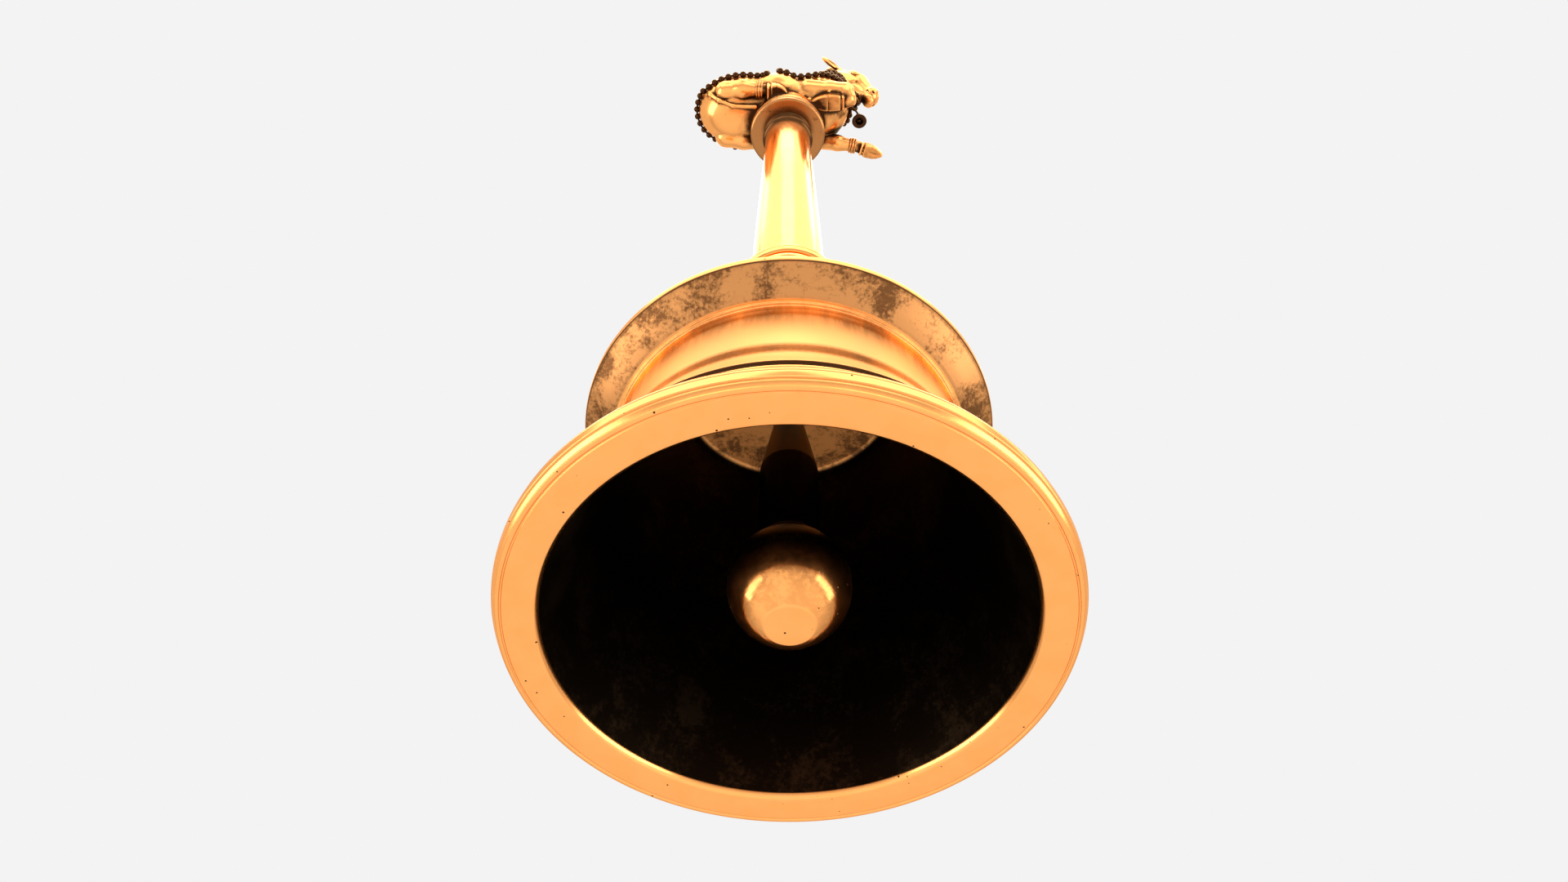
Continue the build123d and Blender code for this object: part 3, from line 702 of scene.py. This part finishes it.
def torso(p):
    """Barrel, haunches, shoulders and the flat belly."""
    y = BODY_Y
    shape = egg(p, (-4.0, y, 203.9), (17.4, 9.2, 9.3))
    shape = blend_in(shape, egg(p, (-15.2, y, 203.2), (9.2, 8.7, 8.8)), 3.0)
    shape = blend_in(shape, egg(p, (8.2, y, 204.2), (8.6, 8.2, 9.2)), 3.0)
    for side in (-1, 1):
        shape = blend_in(shape, egg(p, (-13.4, y + side * 5.8, 202.0), (7.0, 3.7, 6.0), 18, side * 8), 0.8)
        shape = blend_in(shape, egg(p, (8.4, y + side * 5.3, 203.4), (5.2, 3.4, 6.2), -25, side * -6), 1.0)
        shape = blend_in(shape, egg(p, (-2.5, y + side * 5.8, 202.0), (6.4, 4.0, 5.4)), 1.6)
        # the hollows in front of the haunch and behind the shoulder
        shape = carve_out(shape, egg(p, (-5.6, y + side * 9.4, 206.8), (2.4, 1.4, 4.4), 30), 1.2)
        shape = carve_out(shape, egg(p, (2.6, y + side * 10.0, 202.4), (1.2, 1.2, 5.2), -20), 0.9)
    shape = carve_out(shape, rod(p, (-20.0, y, 213.2), (-1.0, y, 213.8), 0.5, 0.5), 1.0)
    floor_cut = BELLY_Z - p[:, 2]
    return -blend_in(-shape, -floor_cut, 1.0)


def neck_and_hump(p, shape):
    """The thick neck, the loose dewlap with its folds, and the hump."""
    y = BODY_Y
    neck = rod(p, (8.6, y, 207.0), (14.2, y - 0.8, 217.0), 7.4, 4.9)
    shape = blend_in(shape, neck, 2.0)
    shape = blend_in(shape, egg(p, (13.6, y, 204.6), (2.6, 2.4, 6.4), 18), 1.2)
    shape = blend_in(shape, egg(p, (17.3, y - 0.5, 209.0), (2.7, 1.9, 4.9), 22), 0.9)
    for fold in range(3):
        x, z = 18.3 - fold * 0.5, 207.4 - fold * 2.3
        shape = carve_out(shape, rod(p, (x, y - 3.2, z), (x, y + 3.2, z), 0.22, 0.22), 0.5)
    shape = blend_in(shape, egg(p, (2.4, y, 213.8), (5.0, 3.7, 5.2), -14), 1.4)
    shape = blend_in(shape, egg(p, (1.4, y, 217.4), (2.9, 2.5, 2.3), -20), 0.8)
    for fold in range(4):
        x = 3.0 + fold * 1.9
        crease = ring_about(p, (x, y, 205.5 + 0.9 * fold), (0.9, 0, 0.45), 9.9 - 0.3 * fold, 0.12)
        shape = carve_out(shape, crease, 0.35)
    return shape


POLL = (14.8, BODY_Y - 1.2, 220.2)
BROW = (19.8, BODY_Y - 1.1, 218.6)
MUZZLE = (23.0, BODY_Y - 0.3, 212.2)


def head(p):
    """Skull, brow, cheeks, muzzle, lips, eyes and nostrils."""
    y, nose_y = BROW[1], MUZZLE[1]
    shape = rod(p, POLL, BROW, 4.2, 3.3)
    shape = blend_in(shape, rod(p, BROW, MUZZLE, 3.1, 2.4), 1.2)
    shape = blend_in(shape, egg(p, (23.4, nose_y, 211.6), (1.9, 2.75, 2.3), 38), 0.7)
    shape = blend_in(shape, rod(p, (16.8, y - 0.4, 216.2), (22.2, nose_y, 210.0), 2.6, 1.4), 0.7)
    shape = blend_in(shape, egg(p, (22.3, nose_y + 0.1, 209.0), (1.8, 2.0, 1.2), 38), 0.4)
    shape = blend_in(shape, egg(p, (14.6, y, 223.0), (2.6, 3.2, 1.8), 12), 0.9)
    for side in (-1, 1):
        shape = blend_in(shape, egg(p, (17.0, y + side * 2.5, 216.6), (2.8, 1.4, 2.4), 30), 0.6)
        # brow ridge, eyeball and lids
        shape = blend_in(shape, egg(p, (19.0, y + side * 2.6, 220.8), (1.9, 1.1, 0.8), 20, side * -14), 0.5)
        shape = carve_out(shape, egg(p, (19.3, y + side * 3.9, 219.2), (1.5, 0.8, 0.95), 35, side * -12), 0.4)
        shape = blend_in(shape, egg(p, (19.3, y + side * 3.3, 219.1), (1.05, 0.75, 0.8), 35), 0.1)
        lids = ring_about(p, (19.3, y + side * 3.6, 219.15), (0.2, side, 0.1), 1.12, 0.2)
        shape = blend_in(shape, lids, 0.2)
        # nostril and the corner of the mouth
        nostril = egg(p, (24.9, nose_y + side * 1.3, 212.4), (0.85, 0.6, 0.5), 30, side * 25)
        flare = ring_about(p, (25.0, nose_y + side * 1.3, 212.5), (0.9, side * 0.4, 0.2), 0.85, 0.18)
        lips = rod(p, (24.9, nose_y + side * 1.6, 209.9), (20.4, nose_y + side * 2.4, 211.8), 0.26, 0.14)
        nose_line = rod(p, (20.6, y + side * 2.0, 218.6), (23.2, y + side * 1.6, 215.2), 0.22, 0.1)
        shape = blend_in(carve_out(shape, nostril, 0.2), flare, 0.15)
        shape = carve_out(carve_out(shape, lips, 0.2), nose_line, 0.5)
    return carve_out(shape, rod(p, (24.9, nose_y - 1.8, 209.8), (24.9, nose_y + 1.8, 209.8), 0.28, 0.28), 0.2)


def ears_and_horns(p, shape):
    """Leaf-shaped ears swept back, and short ringed horns that turn in at the tips."""
    y = POLL[1]
    for side in (-1, 1):
        root = np.array((14.6, y + side * 3.7, 220.6))
        tip = np.array((10.1, y + side * 7.2, 222.0))
        middle = (root + tip) / 2
        yaw = np.degrees(atan2(tip[1] - root[1], tip[0] - root[0]))
        leaf = egg(p, middle, (3.3, 0.75, 1.35), 12, yaw)
        hollow = egg(p, middle + np.array((0.65, side * 0.4, -0.1)), (2.5, 0.55, 0.8), 12, yaw)
        shape = blend_in(shape, carve_out(leaf, hollow, 0.15), 0.3)
        shape = blend_in(shape, rod(p, (14.4, y + side * 2.9, 220.2), tuple(root), 1.3, 0.9), 0.5)
        horn = chain(
            p,
            [
                (13.2, y + 0.6 + side * 1.9, 222.6),
                (12.4, y + 0.8 + side * 3.0, 224.3),
                (12.2, y + 1.0 + side * 3.2, 225.9),
                (12.6, y + 1.0 + side * 2.5, 227.3),
            ],
            [1.35, 1.1, 0.8, 0.4],
            0.5,
        )
        shape = blend_in(shape, horn, 0.3)
        for turn in range(3):
            centre = (13.0 - 0.22 * turn, y + 0.65 + side * (2.2 + 0.3 * turn), 223.1 + 0.5 * turn)
            collar_ring = ring_about(p, centre, (-0.25, side * 0.65, 0.7), 1.28 - 0.08 * turn, 0.14)
            shape = blend_in(shape, collar_ring, 0.15)
    return shape


def legs(p, shape):
    """Four folded legs, the right foreleg turned back and the left stretched ahead."""
    limbs = (
        # right upper arm and knee, then its cannon folded back
        ([(5.6, -7.4, 201.2), (11.4, -7.6, 199.8), (15.4, -7.6, 198.9)], [3.0, 2.5, 2.6], 0.3),
        ([(15.6, -7.4, 198.0), (16.2, -6.4, 197.1), (15.5, -5.95, 196.8)], [2.2, 1.9, 1.8], 0.2),
        # left foreleg
        ([(8.0, 5.6, 199.4), (13.6, 6.0, 197.4), (18.6, 6.8, 197.0)], [2.8, 2.0, 1.45], 0.2),
        # right thigh and shank
        (
            [(-13.0, -7.2, 200.6), (-16.6, -7.9, 198.7), (-12.0, -8.8, 197.8), (-6.8, -8.9, 197.1)],
            [3.6, 2.6, 2.55, 1.6],
            0.2,
        ),
        # left thigh and shank
        (
            [(-13.8, 4.6, 201.0), (-16.8, 4.4, 198.4), (-12.0, 5.1, 197.7), (-6.4, 6.0, 197.1)],
            [3.9, 2.7, 2.5, 1.6],
            0.2,
        ),
    )
    for joints, radii, soft in limbs:
        shape = blend_in(shape, chain(p, joints, radii, 1.0), soft)
    return shape


HOOVES = (
    # fetlock, toe, half-width, depth of the cleft: right fore, left fore, right hind, left hind
    ((15.9, -5.95, 196.8), (6.6, -5.8, 196.4), 2.2, 0.05),
    ((18.9, 6.9, 197.0), (25.2, 8.6, 196.4), 1.75, 0.3),
    ((-6.2, -8.9, 197.0), (-0.8, -8.9, 196.4), 2.0, 0.12),
    ((-5.6, 6.2, 197.0), (0.2, 6.9, 196.4), 2.0, 0.34),
)


def wedge(p, fetlock, toe, half, cleft_depth, sole=194.7):
    """Distance to a hoof: a flat-soled block that narrows and drops towards the toe."""
    a, b = np.array(fetlock, np.float32), np.array(toe, np.float32)
    length = float(np.hypot(*(b - a)[:2]))
    along = (b - a)[:2] / length
    u = (p[:, :2] - a[:2]) @ along
    v = (p[:, :2] - a[:2]) @ np.array((-along[1], along[0]), np.float32)
    t = np.clip(u / length, 0, 1)
    side = np.abs(v) - half * (0.86 + 0.5 * t - 1.16 * t**3)
    top = p[:, 2] - (a[2] + 1.75 - 2.3 * t**1.4)
    roof = 0.8 * top + 0.45 * (np.abs(v) - 0.45 * half)
    block = -blend_in(-side, -roof, 0.5)
    block = -blend_in(-block, -(sole - p[:, 2]), 0.35)
    cleft = np.exp(-((v / 0.24) ** 2)) * np.clip((t - 0.25) * 3, 0, 1) * np.clip((0.9 - t) * 5, 0, 1)
    coronet = np.exp(-(((u - 0.42) / 0.2) ** 2)) + 0.25 * np.exp(-(((u - 0.45 * length) / 0.13) ** 2))
    block = block + cleft_depth * cleft + 0.42 * coronet
    return np.maximum(block, np.maximum(u - length, -u - 0.4)) * 0.8


def hooves(p, shape):
    """Pointed cloven hooves, each with a coronet and a split toe."""
    for fetlock, toe, half, cleft_depth in HOOVES:
        a, b = np.array(fetlock), np.array(toe)
        length = np.linalg.norm(b - a)
        along = (b - a) / length
        hoof = wedge(p, a + along * 1.2, b + along * 0.6, half, cleft_depth)
        hoof = blend_in(hoof, rod(p, a - along, a + along * 1.3, 1.5, 1.5), 0.15)
        shape = blend_in(shape, hoof, 0.12)
    return shape


def tail(p, shape):
    """The tail, laid round the haunch and under the belly to a tuft."""
    hair = chain(
        p,
        [
            (-23.0, -3.2, 206.0),
            (-22.6, -6.0, 201.6),
            (-20.6, -7.4, 198.0),
            (-18.2, -6.5, 195.9),
            (-14.6, -5.3, 195.1),
            (-8.6, -5.0, 195.1),
        ],
        [0.75, 0.6, 0.55, 0.5, 0.5, 0.6],
        0.6,
    )
    return blend_in(shape, hair, 0.15)


def bull_field(points):
    """Distance in millimetres from each point to the finished casting, less than 0 inside."""
    p = points.astype(np.float32)
    shape = torso(p)
    shape = neck_and_hump(p, shape)
    shape = legs(p, shape)
    shape = hooves(p, shape)
    shape = tail(p, shape)
    shape = blend_in(shape, head(p), 1.2)
    shape = ears_and_horns(p, shape)
    # cast down on to the plinth
    saddle = np.maximum(np.linalg.norm(p[:, :2], axis=1) - 8.7, np.abs(p[:, 2] - 195.2) - 1.2)
    return blend_in(shape, saddle, 0.5)


def slope(field, points, reach=0.05):
    """Unit outward directions of a field, and its value, at each point."""
    value = field(points)
    steps = [field(points + reach * axis) - field(points - reach * axis) for axis in np.eye(3)]
    rise = np.stack(steps, axis=1) / (2 * reach)
    return value, rise / np.maximum((rise**2).sum(axis=1, keepdims=True), 1e-6)


def settle(points, field, lift=0.0, rounds=6):
    """Move points on to the surface of a field, or lift millimetres off it."""
    moved = np.array(points, float)
    for _ in range(rounds):
        value, rise = slope(field, moved)
        step = (value - lift)[:, None] * rise
        length = np.linalg.norm(step, axis=1, keepdims=True)
        moved = moved - step * np.minimum(1.0, 1.0 / np.maximum(length, 1e-6))
    return moved


def cast_mesh(name, field, low, high, step):
    """A closed quad mesh of the surface of a field, from one point in each cell that it crosses."""
    counts = [int((b - a) / step) + 2 for a, b in zip(low, high)]
    axes = [a + step * np.arange(n) for a, n in zip(low, counts)]
    values = np.empty(counts, np.float32)
    for i, x in enumerate(axes[0]):
        grid = np.stack(np.meshgrid([x], axes[1], axes[2], indexing="ij"), axis=-1).reshape(-1, 3)
        values[i] = field(grid).reshape(counts[1:])
    inside = values < 0
    cells = tuple(n - 1 for n in counts)
    total = np.zeros((*cells, 3), np.float32)
    hits = np.zeros(cells, np.float32)
    corners = [(i, j, k) for i in (0, 1) for j in (0, 1) for k in (0, 1)]

    def at(grid, corner):
        return grid[tuple(slice(c, c + n) for c, n in zip(corner, cells))]

    for first in corners:
        for axis in range(3):
            if first[axis]:
                continue
            second = tuple(c + (1 if i == axis else 0) for i, c in enumerate(first))
            a, b = at(values, first), at(values, second)
            crossed = (a < 0) != (b < 0)
            share = np.where(crossed, a / np.where(crossed, a - b, 1), 0)
            for i in range(3):
                total[..., i] += np.where(crossed, first[i] + (share if i == axis else 0), 0)
            hits += crossed
    used = hits > 0
    number = np.full(cells, -1, np.int64)
    number[used] = np.arange(used.sum())
    places = (np.argwhere(used) + total[used] / hits[used][:, None]) * step + np.array(low)
    faces = []
    for axis in range(3):
        one, two = [i for i in range(3) if i != axis]
        near = [slice(None)] * 3
        far = [slice(None)] * 3
        near[axis], far[axis] = slice(0, -1), slice(1, None)
        a, b = inside[tuple(near)], inside[tuple(far)]
        where = np.argwhere(a != b)
        a_line, b_line = where[:, one], where[:, two]
        where = where[(a_line > 0) & (b_line > 0) & (a_line < cells[one]) & (b_line < cells[two])]
        out = a[tuple(where.T)]
        ring = []
        for d_one, d_two in ((-1, -1), (0, -1), (0, 0), (-1, 0)):
            cell = where.copy()
            cell[:, one] += d_one
            cell[:, two] += d_two
            ring.append(number[tuple(cell.T)])
        quad = np.stack(ring, axis=1)
        flip = out if axis != 1 else ~out
        faces.append(np.where(flip[:, None], quad, quad[:, ::-1]))
    faces = np.concatenate(faces)
    places = settle(places, field, rounds=4)
    made = bpy.data.meshes.new(name)
    made.from_pydata((places * MM).tolist(), [], faces.tolist())
    made.validate()
    made.update()
    return made


DISC_R, DISC_MIDDLE_Z, DISC_HALF = 9.4, 191.0, 3.0
CAVITY_REACHES = (0.4, 1.0, 2.4, 5.5)


def cavity(field, mesh):
    """Store on the mesh how closed in each vertex is, 0 in the open and 1 in a deep crease."""
    count = len(mesh.vertices)
    places, outward = np.empty(count * 3, np.float32), np.empty(count * 3, np.float32)
    mesh.vertices.foreach_get("co", places)
    mesh.vertices.foreach_get("normal", outward)
    places, outward = places.reshape(-1, 3) / MM, outward.reshape(-1, 3)
    closed = np.zeros(count, np.float32)
    for reach in CAVITY_REACHES:
        reached = places + outward * reach
        off_axis, off_middle = np.linalg.norm(reached[:, :2], axis=1), np.abs(reached[:, 2] - DISC_MIDDLE_Z)
        # the capital disc counts as closing in, so surfaces near the plinth darken there as painted shade
        room = np.minimum(field(reached), np.maximum(off_axis - DISC_R, off_middle - DISC_HALF))
        closed += np.clip(1 - room / reach, 0, 1) / len(CAVITY_REACHES)
    made = mesh.attributes.new("cavity", "FLOAT", "POINT")
    made.data.foreach_set("value", closed)


bull_mesh = cast_mesh("bull_cast", bull_field, (-27.0, -14.5, 193.0), (29.0, 11.5, 231.5), CARVE_STEP)
cavity(bull_field, bull_mesh)
bull_parts = ["torso", "neck", "hump", "head", "horns", "ears", "right_foreleg", "left_foreleg"]
bull_parts += ["right_hindleg", "left_hindleg", "hooves", "tail"]
bull_nodes = ["bull_" + part for part in bull_parts]
finish_mesh("bull_cast", bull_mesh, "bell", figure_brass, bull_nodes)

# ---------------------------------------------------------------- beads, straps and the little bell


def strand_tree():
    """Round beads set one pitch apart along a line, threaded on a cord."""
    tree = bpy.data.node_groups.new("bead strand", "GeometryNodeTree")
    for name, way, kind in (
        ("Geometry", "INPUT", "NodeSocketGeometry"),
        ("Pitch", "INPUT", "NodeSocketFloat"),
        ("Bead Radius", "INPUT", "NodeSocketFloat"),
        ("Cord Radius", "INPUT", "NodeSocketFloat"),
        ("Material", "INPUT", "NodeSocketMaterial"),
        ("Geometry", "OUTPUT", "NodeSocketGeometry"),
    ):
        tree.interface.new_socket(name, in_out=way, socket_type=kind)
    given, out = tree.nodes.new("NodeGroupInput"), tree.nodes.new("NodeGroupOutput")
    line = tree.nodes.new("GeometryNodeMeshToCurve")
    even = add_node(tree, "GeometryNodeResampleCurve", mode="LENGTH")
    bead = add_node(tree, "GeometryNodeMeshUVSphere", in_Segments=20, in_Rings=12)
    place = tree.nodes.new("GeometryNodeInstanceOnPoints")
    smooth = tree.nodes.new("GeometryNodeSetShadeSmooth")
    section = add_node(tree, "GeometryNodeCurvePrimitiveCircle", in_Resolution=8)
    cord = add_node(tree, "GeometryNodeCurveToMesh", in_Fill_Caps=True)
    both = tree.nodes.new("GeometryNodeJoinGeometry")
    real = tree.nodes.new("GeometryNodeRealizeInstances")
    paint = tree.nodes.new("GeometryNodeSetMaterial")
    for source, target in (
        (given.outputs["Geometry"], line.inputs["Mesh"]),
        (line.outputs["Curve"], even.inputs["Curve"]),
        (given.outputs["Pitch"], even.inputs["Length"]),
        (given.outputs["Bead Radius"], bead.inputs["Radius"]),
        (even.outputs["Curve"], place.inputs["Points"]),
        (bead.outputs["Mesh"], place.inputs["Instance"]),
        (place.outputs["Instances"], real.inputs["Geometry"]),
        (given.outputs["Cord Radius"], section.inputs["Radius"]),
        (line.outputs["Curve"], cord.inputs["Curve"]),
        (section.outputs["Curve"], cord.inputs["Profile Curve"]),
        (cord.outputs["Mesh"], both.inputs["Geometry"]),
        (real.outputs["Geometry"], both.inputs["Geometry"]),
        (both.outputs["Geometry"], smooth.inputs["Geometry"]),
        (smooth.outputs["Geometry"], paint.inputs["Geometry"]),
        (given.outputs["Material"], paint.inputs["Material"]),
        (paint.outputs["Geometry"], out.inputs["Geometry"]),
    ):
        tree.links.new(source, target)
    return tree


STRAND = strand_tree()


def line_mesh(name, lines):
    """Edges along each line of points in millimetres."""
    made = bpy.data.meshes.new(name)
    points, edges = [], []
    for line in lines:
        edges += [(len(points) + i, len(points) + i + 1) for i in range(len(line) - 1)]
        points += [tuple(c * MM for c in point) for point in line]
    made.from_pydata(points, edges, [])
    return made


def baked(name, mesh, tree, inputs):
    """Run a geometry tree on a mesh and return the plain mesh that it makes."""
    piece = bpy.data.objects.new(name, mesh)
    bpy.context.scene.collection.objects.link(piece)
    modifier = piece.modifiers.new("made", "NODES")
    modifier.node_group = tree
    sockets = {item.name: item.identifier for item in tree.interface.items_tree if item.in_out == "INPUT"}
    for key, value in inputs.items():
        modifier[sockets[key]] = value
    made = bpy.data.meshes.new_from_object(piece.evaluated_get(bpy.context.evaluated_depsgraph_get()))
    made.name = name
    bpy.data.objects.remove(piece)
    return made


def laid(points, lift, steps=8):
    """A smooth line through guide points, laid on the bull and lifted off it."""
    return settle(np.array(smooth_run(points, steps)), bull_field, lift)


BEAD_LIFT = 0.42
BEAD_R, BEAD_PITCH, CORD_R = 0.85, 1.98, 0.28


def strand(name, lines, node, bead_r=BEAD_R, pitch=BEAD_PITCH, cord_r=CORD_R):
    """Beads on a cord along each line, in place of one CAD node."""
    sizes = {"Pitch": pitch * MM, "Bead Radius": bead_r * MM, "Cord Radius": cord_r * MM}
    mesh = baked(name, line_mesh(name, lines), STRAND, {**sizes, "Material": bead_brass})
    finish_mesh(name, mesh, "bell", bead_brass, [node])


def mirrored(points):
    """The same points on the bull's other side, in the opposite order."""
    return [(x, 2 * BODY_Y - y, z) for x, y, z in reversed(points)]


def opened(line, pitch):
    """A closed line, cut one pitch before it meets its own start."""
    line = np.array(line)
    run = np.concatenate([[0], np.cumsum(np.linalg.norm(np.diff(line, axis=0), axis=1))])
    return line[run <= run[-1] - pitch]


rump_side = [
    (-4.0, -1.5, 214.0),
    (-5.0, -8.0, 211.5),
    (-6.6, -11.0, 205.0),
    (-9.0, -11.4, 202.6),
    (-14.0, -10.8, 201.8),
    (-19.6, -8.6, 201.6),
    (-23.2, -5.0, 201.8),
    (-24.3, -1.5, 202.0),
]
flank_side = [
    (0.2, -1.5, 214.0),
    (-0.8, -8.0, 211.0),
    (-2.2, -11.0, 205.0),
    (1.6, -11.0, 203.2),
    (6.0, -10.6, 203.6),
    (10.4, -9.4, 205.0),
    (13.4, -7.4, 207.0),
]
rump_line = laid(rump_side + mirrored(rump_side)[1:], BEAD_LIFT)
flank_line = laid(mirrored(flank_side) + flank_side[1:], BEAD_LIFT)
strand("rump_beads", [opened(rump_line, BEAD_PITCH)], "rump_garland")
strand("flank_beads", [flank_line], "flank_garland")


def neck_loop(nape, breast, half=8.0):
    """A closed loop round the neck, from a point behind it to a point on the breast."""
    nape, breast = np.array(nape), np.array(breast)
    turns = [2 * pi * i / 36 for i in range(37)]
    side = np.array((0, half, 0))
    return [tuple((nape + breast) / 2 + (nape - breast) / 2 * cos(t) + side * sin(t)) for t in turns]


loops = [
    laid(neck_loop((6.4, BODY_Y, 216.6), (19.4, BODY_Y, 202.6), 7.0), BEAD_LIFT, 2),
    laid(neck_loop((8.4, BODY_Y, 218.8), (19.6, BODY_Y, 205.6), 6.0), BEAD_LIFT, 2),
]
low_corner, high_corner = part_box("pendant_bell")
pendant_x, pendant_y = (low_corner[0] + high_corner[0]) / 2 / MM, (low_corner[1] + high_corner[1]) / 2 / MM
pendant_z, pendant_top = low_corner[2] / MM, high_corner[2] / MM
hook = loops[0][np.argmax(loops[0][:, 0])]
hanger = [
    tuple(hook),
    (pendant_x - 0.6, (hook[1] + pendant_y) / 2, pendant_top + 1.6),
    (pendant_x, pendant_y, pendant_top + 0.6),
]
neck_lines = [opened(loop, BEAD_PITCH) for loop in loops] + [smooth_run(hanger)]
strand("neck_beads", neck_lines, "neck_garland")


def rings_mesh(name, rings, around=48, section=12):
    """Round rings, each given as (centre, axis, ring radius, wire radius) in millimetres."""
    mesh = bmesh.new()
    for centre, axis, ring_r, wire_r in rings:
        turn = Vector(axis).to_track_quat("Z", "Y")
        corners = []
        for i in range(around):
            t = 2 * pi * i / around
            out = Vector((cos(t), sin(t), 0))
            loop = []
            for j in range(section):
                a = 2 * pi * j / section
                place = out * (ring_r + wire_r * cos(a)) + Vector((0, 0, wire_r * sin(a)))
                loop.append(mesh.verts.new((Vector(centre) + turn @ place) * MM))
            corners.append(loop)
        for i in range(around):
            for j in range(section):
                k, m = (i + 1) % around, (j + 1) % section
                mesh.faces.new((corners[i][j], corners[k][j], corners[k][m], corners[i][m]))
    bmesh.ops.recalc_face_normals(mesh, faces=mesh.faces)
    made = bpy.data.meshes.new(name)
    mesh.to_mesh(made)
    mesh.free()
    return made


ANKLETS = (
    # first ring's centre, axis, radius: right hind, left hind, left fore
    ((-8.0, -8.9, 197.25), (1, 0.0, -0.13), 1.95),
    ((-7.6, 5.8, 197.25), (1, 0.15, -0.13), 1.95),
    ((17.0, 6.55, 197.1), (1, 0.16, -0.06), 1.75),
)
anklet_rings = []
for start, axis, ring_r in ANKLETS:
    for step, wire_r in enumerate((0.32, 0.42, 0.32)):
        centre = Vector(start) + Vector(axis).normalized() * 0.68 * step
        anklet_rings.append((centre, axis, ring_r, wire_r))
anklet_mesh = rings_mesh("anklet_rings", anklet_rings)
finish_mesh("anklet_rings", anklet_mesh, "bell", anklet_brass, ["bull_anklets"])

STRAP_PITCH = 1.1
strap = laid(neck_loop((9.8, BODY_Y, 220.4), (20.2, BODY_Y, 208.0), 6.0), 0.1, 2)
strand("neck_strap", [opened(strap, STRAP_PITCH)], "bull_collar", 0.52, STRAP_PITCH, 0.46)

mouth_of_pendant = [(1.15, 0.0), (1.85, 0.0), (2.0, 0.14), (1.92, 0.5)]
bowl = (
    eased([(0, 1.25), (0.75, 1.2), (0.95, 0.5), (1.0, 0.08)] + mouth_of_pendant, 0.08)
    + smooth_run([(1.92, 0.5), (1.72, 1.2), (1.35, 1.9), (0.7, 2.5), (0.5, 2.7)], 4)[1:]
    + [(0.45, 3.3), (0, 3.4)]
)
drop = arc((0, 0.55), 0.42, -90, 90, 8)
pendant_mesh = bmesh.new()
for outline in (bowl, drop):
    part = lathe_mesh("pendant part", outline, 40)
    pendant_mesh.from_mesh(part)
    bpy.data.meshes.remove(part)
pendant_place = Vector((pendant_x, pendant_y, pendant_z)) * MM
bmesh.ops.translate(pendant_mesh, verts=pendant_mesh.verts, vec=pendant_place)
made = bpy.data.meshes.new("pendant_turned")
pendant_mesh.to_mesh(made)
pendant_mesh.free()
finish_mesh("pendant_turned", made, "bell", bead_brass, ["pendant_bell"])

# ---------------------------------------------------------------- camera, floor and light

camera = bpy.data.objects.new("camera", bpy.data.cameras.new("camera"))
bpy.context.scene.collection.objects.link(camera)
bpy.context.scene.camera = camera
camera.data.sensor_width = 36.0
camera.data.lens = 27.63
camera.data.clip_start = 0.01
yaw, pitch, roll = radians(-0.405), radians(55.143), radians(0.110)
ahead = Vector((sin(yaw) * cos(pitch), cos(yaw) * cos(pitch), sin(pitch)))
right = Vector((cos(yaw), -sin(yaw), 0))
above = right.cross(ahead)
right, above = cos(roll) * right + sin(roll) * above, -sin(roll) * right + cos(roll) * above
camera.matrix_world = Matrix(((*right,), (*above,), (*-ahead,))).transposed().to_4x4()
camera.location = (0, -0.11536, -0.1194)

FLOOR_Z, FLOOR_SIZE, FLOOR_GREY, SKY_GREY = -0.32, 6.0, 0.62, 0.896
bpy.ops.mesh.primitive_plane_add(size=FLOOR_SIZE, location=(0, 0, FLOOR_Z))
floor = bpy.context.object
floor.name = "floor"
pale = bpy.data.materials.new("pale floor")
pale.use_nodes = True
pale_shader = pale.node_tree.nodes["Principled BSDF"]
pale_shader.inputs["Base Color"].default_value = (FLOOR_GREY, FLOOR_GREY, FLOOR_GREY, 1)
pale_shader.inputs["Roughness"].default_value = 0.9
floor.data.materials.append(pale)

world = bpy.data.worlds.new("studio")
bpy.context.scene.world = world
world.use_nodes = True
sky = world.node_tree.nodes["Background"]
sky.inputs["Color"].default_value = (SKY_GREY, SKY_GREY, SKY_GREY, 1)
sky.inputs["Strength"].default_value = 1.0
bpy.context.scene.view_settings.view_transform = "Standard"


def soft_box(name, azimuth, elevation, width, height, brightness, distance=1.0):
    """A soft box that faces the bell; azimuth 0 is in front, and 90 to the right."""
    a, e = radians(azimuth), radians(elevation)
    place = Vector((sin(a) * cos(e), -cos(a) * cos(e), sin(e))) * distance
    lamp = bpy.data.objects.new(name, bpy.data.lights.new(name, "AREA"))
    bpy.context.scene.collection.objects.link(lamp)
    lamp.data.shape = "RECTANGLE"
    lamp.data.size, lamp.data.size_y = width, height
    lamp.data.energy = brightness * pi * width * height
    lamp.location = place + Vector((0, 0, 0.1))
    lamp.rotation_mode = "QUATERNION"
    lamp.rotation_quaternion = (-place).to_track_quat("-Z", "Y")
    lamp.visible_camera = False


soft_box("left box", -41, 50, 0.90, 1.2, 1.9)
soft_box("right box", 41, 50, 0.90, 1.2, 1.9)
soft_box("front low", 0, 8, 1.5, 0.5, 1.7)
soft_box("right strip", 100, 50, 0.15, 0.9, 2.0)
soft_box("top box", 180, 75, 0.9, 0.6, 2.0)
soft_box("high front", 0, 82, 0.32, 0.26, 4.2)
soft_box("low left", -76, -14, 0.55, 0.35, 3.6, 0.7)
soft_box("low right", 76, -14, 0.55, 0.35, 3.6, 0.7)
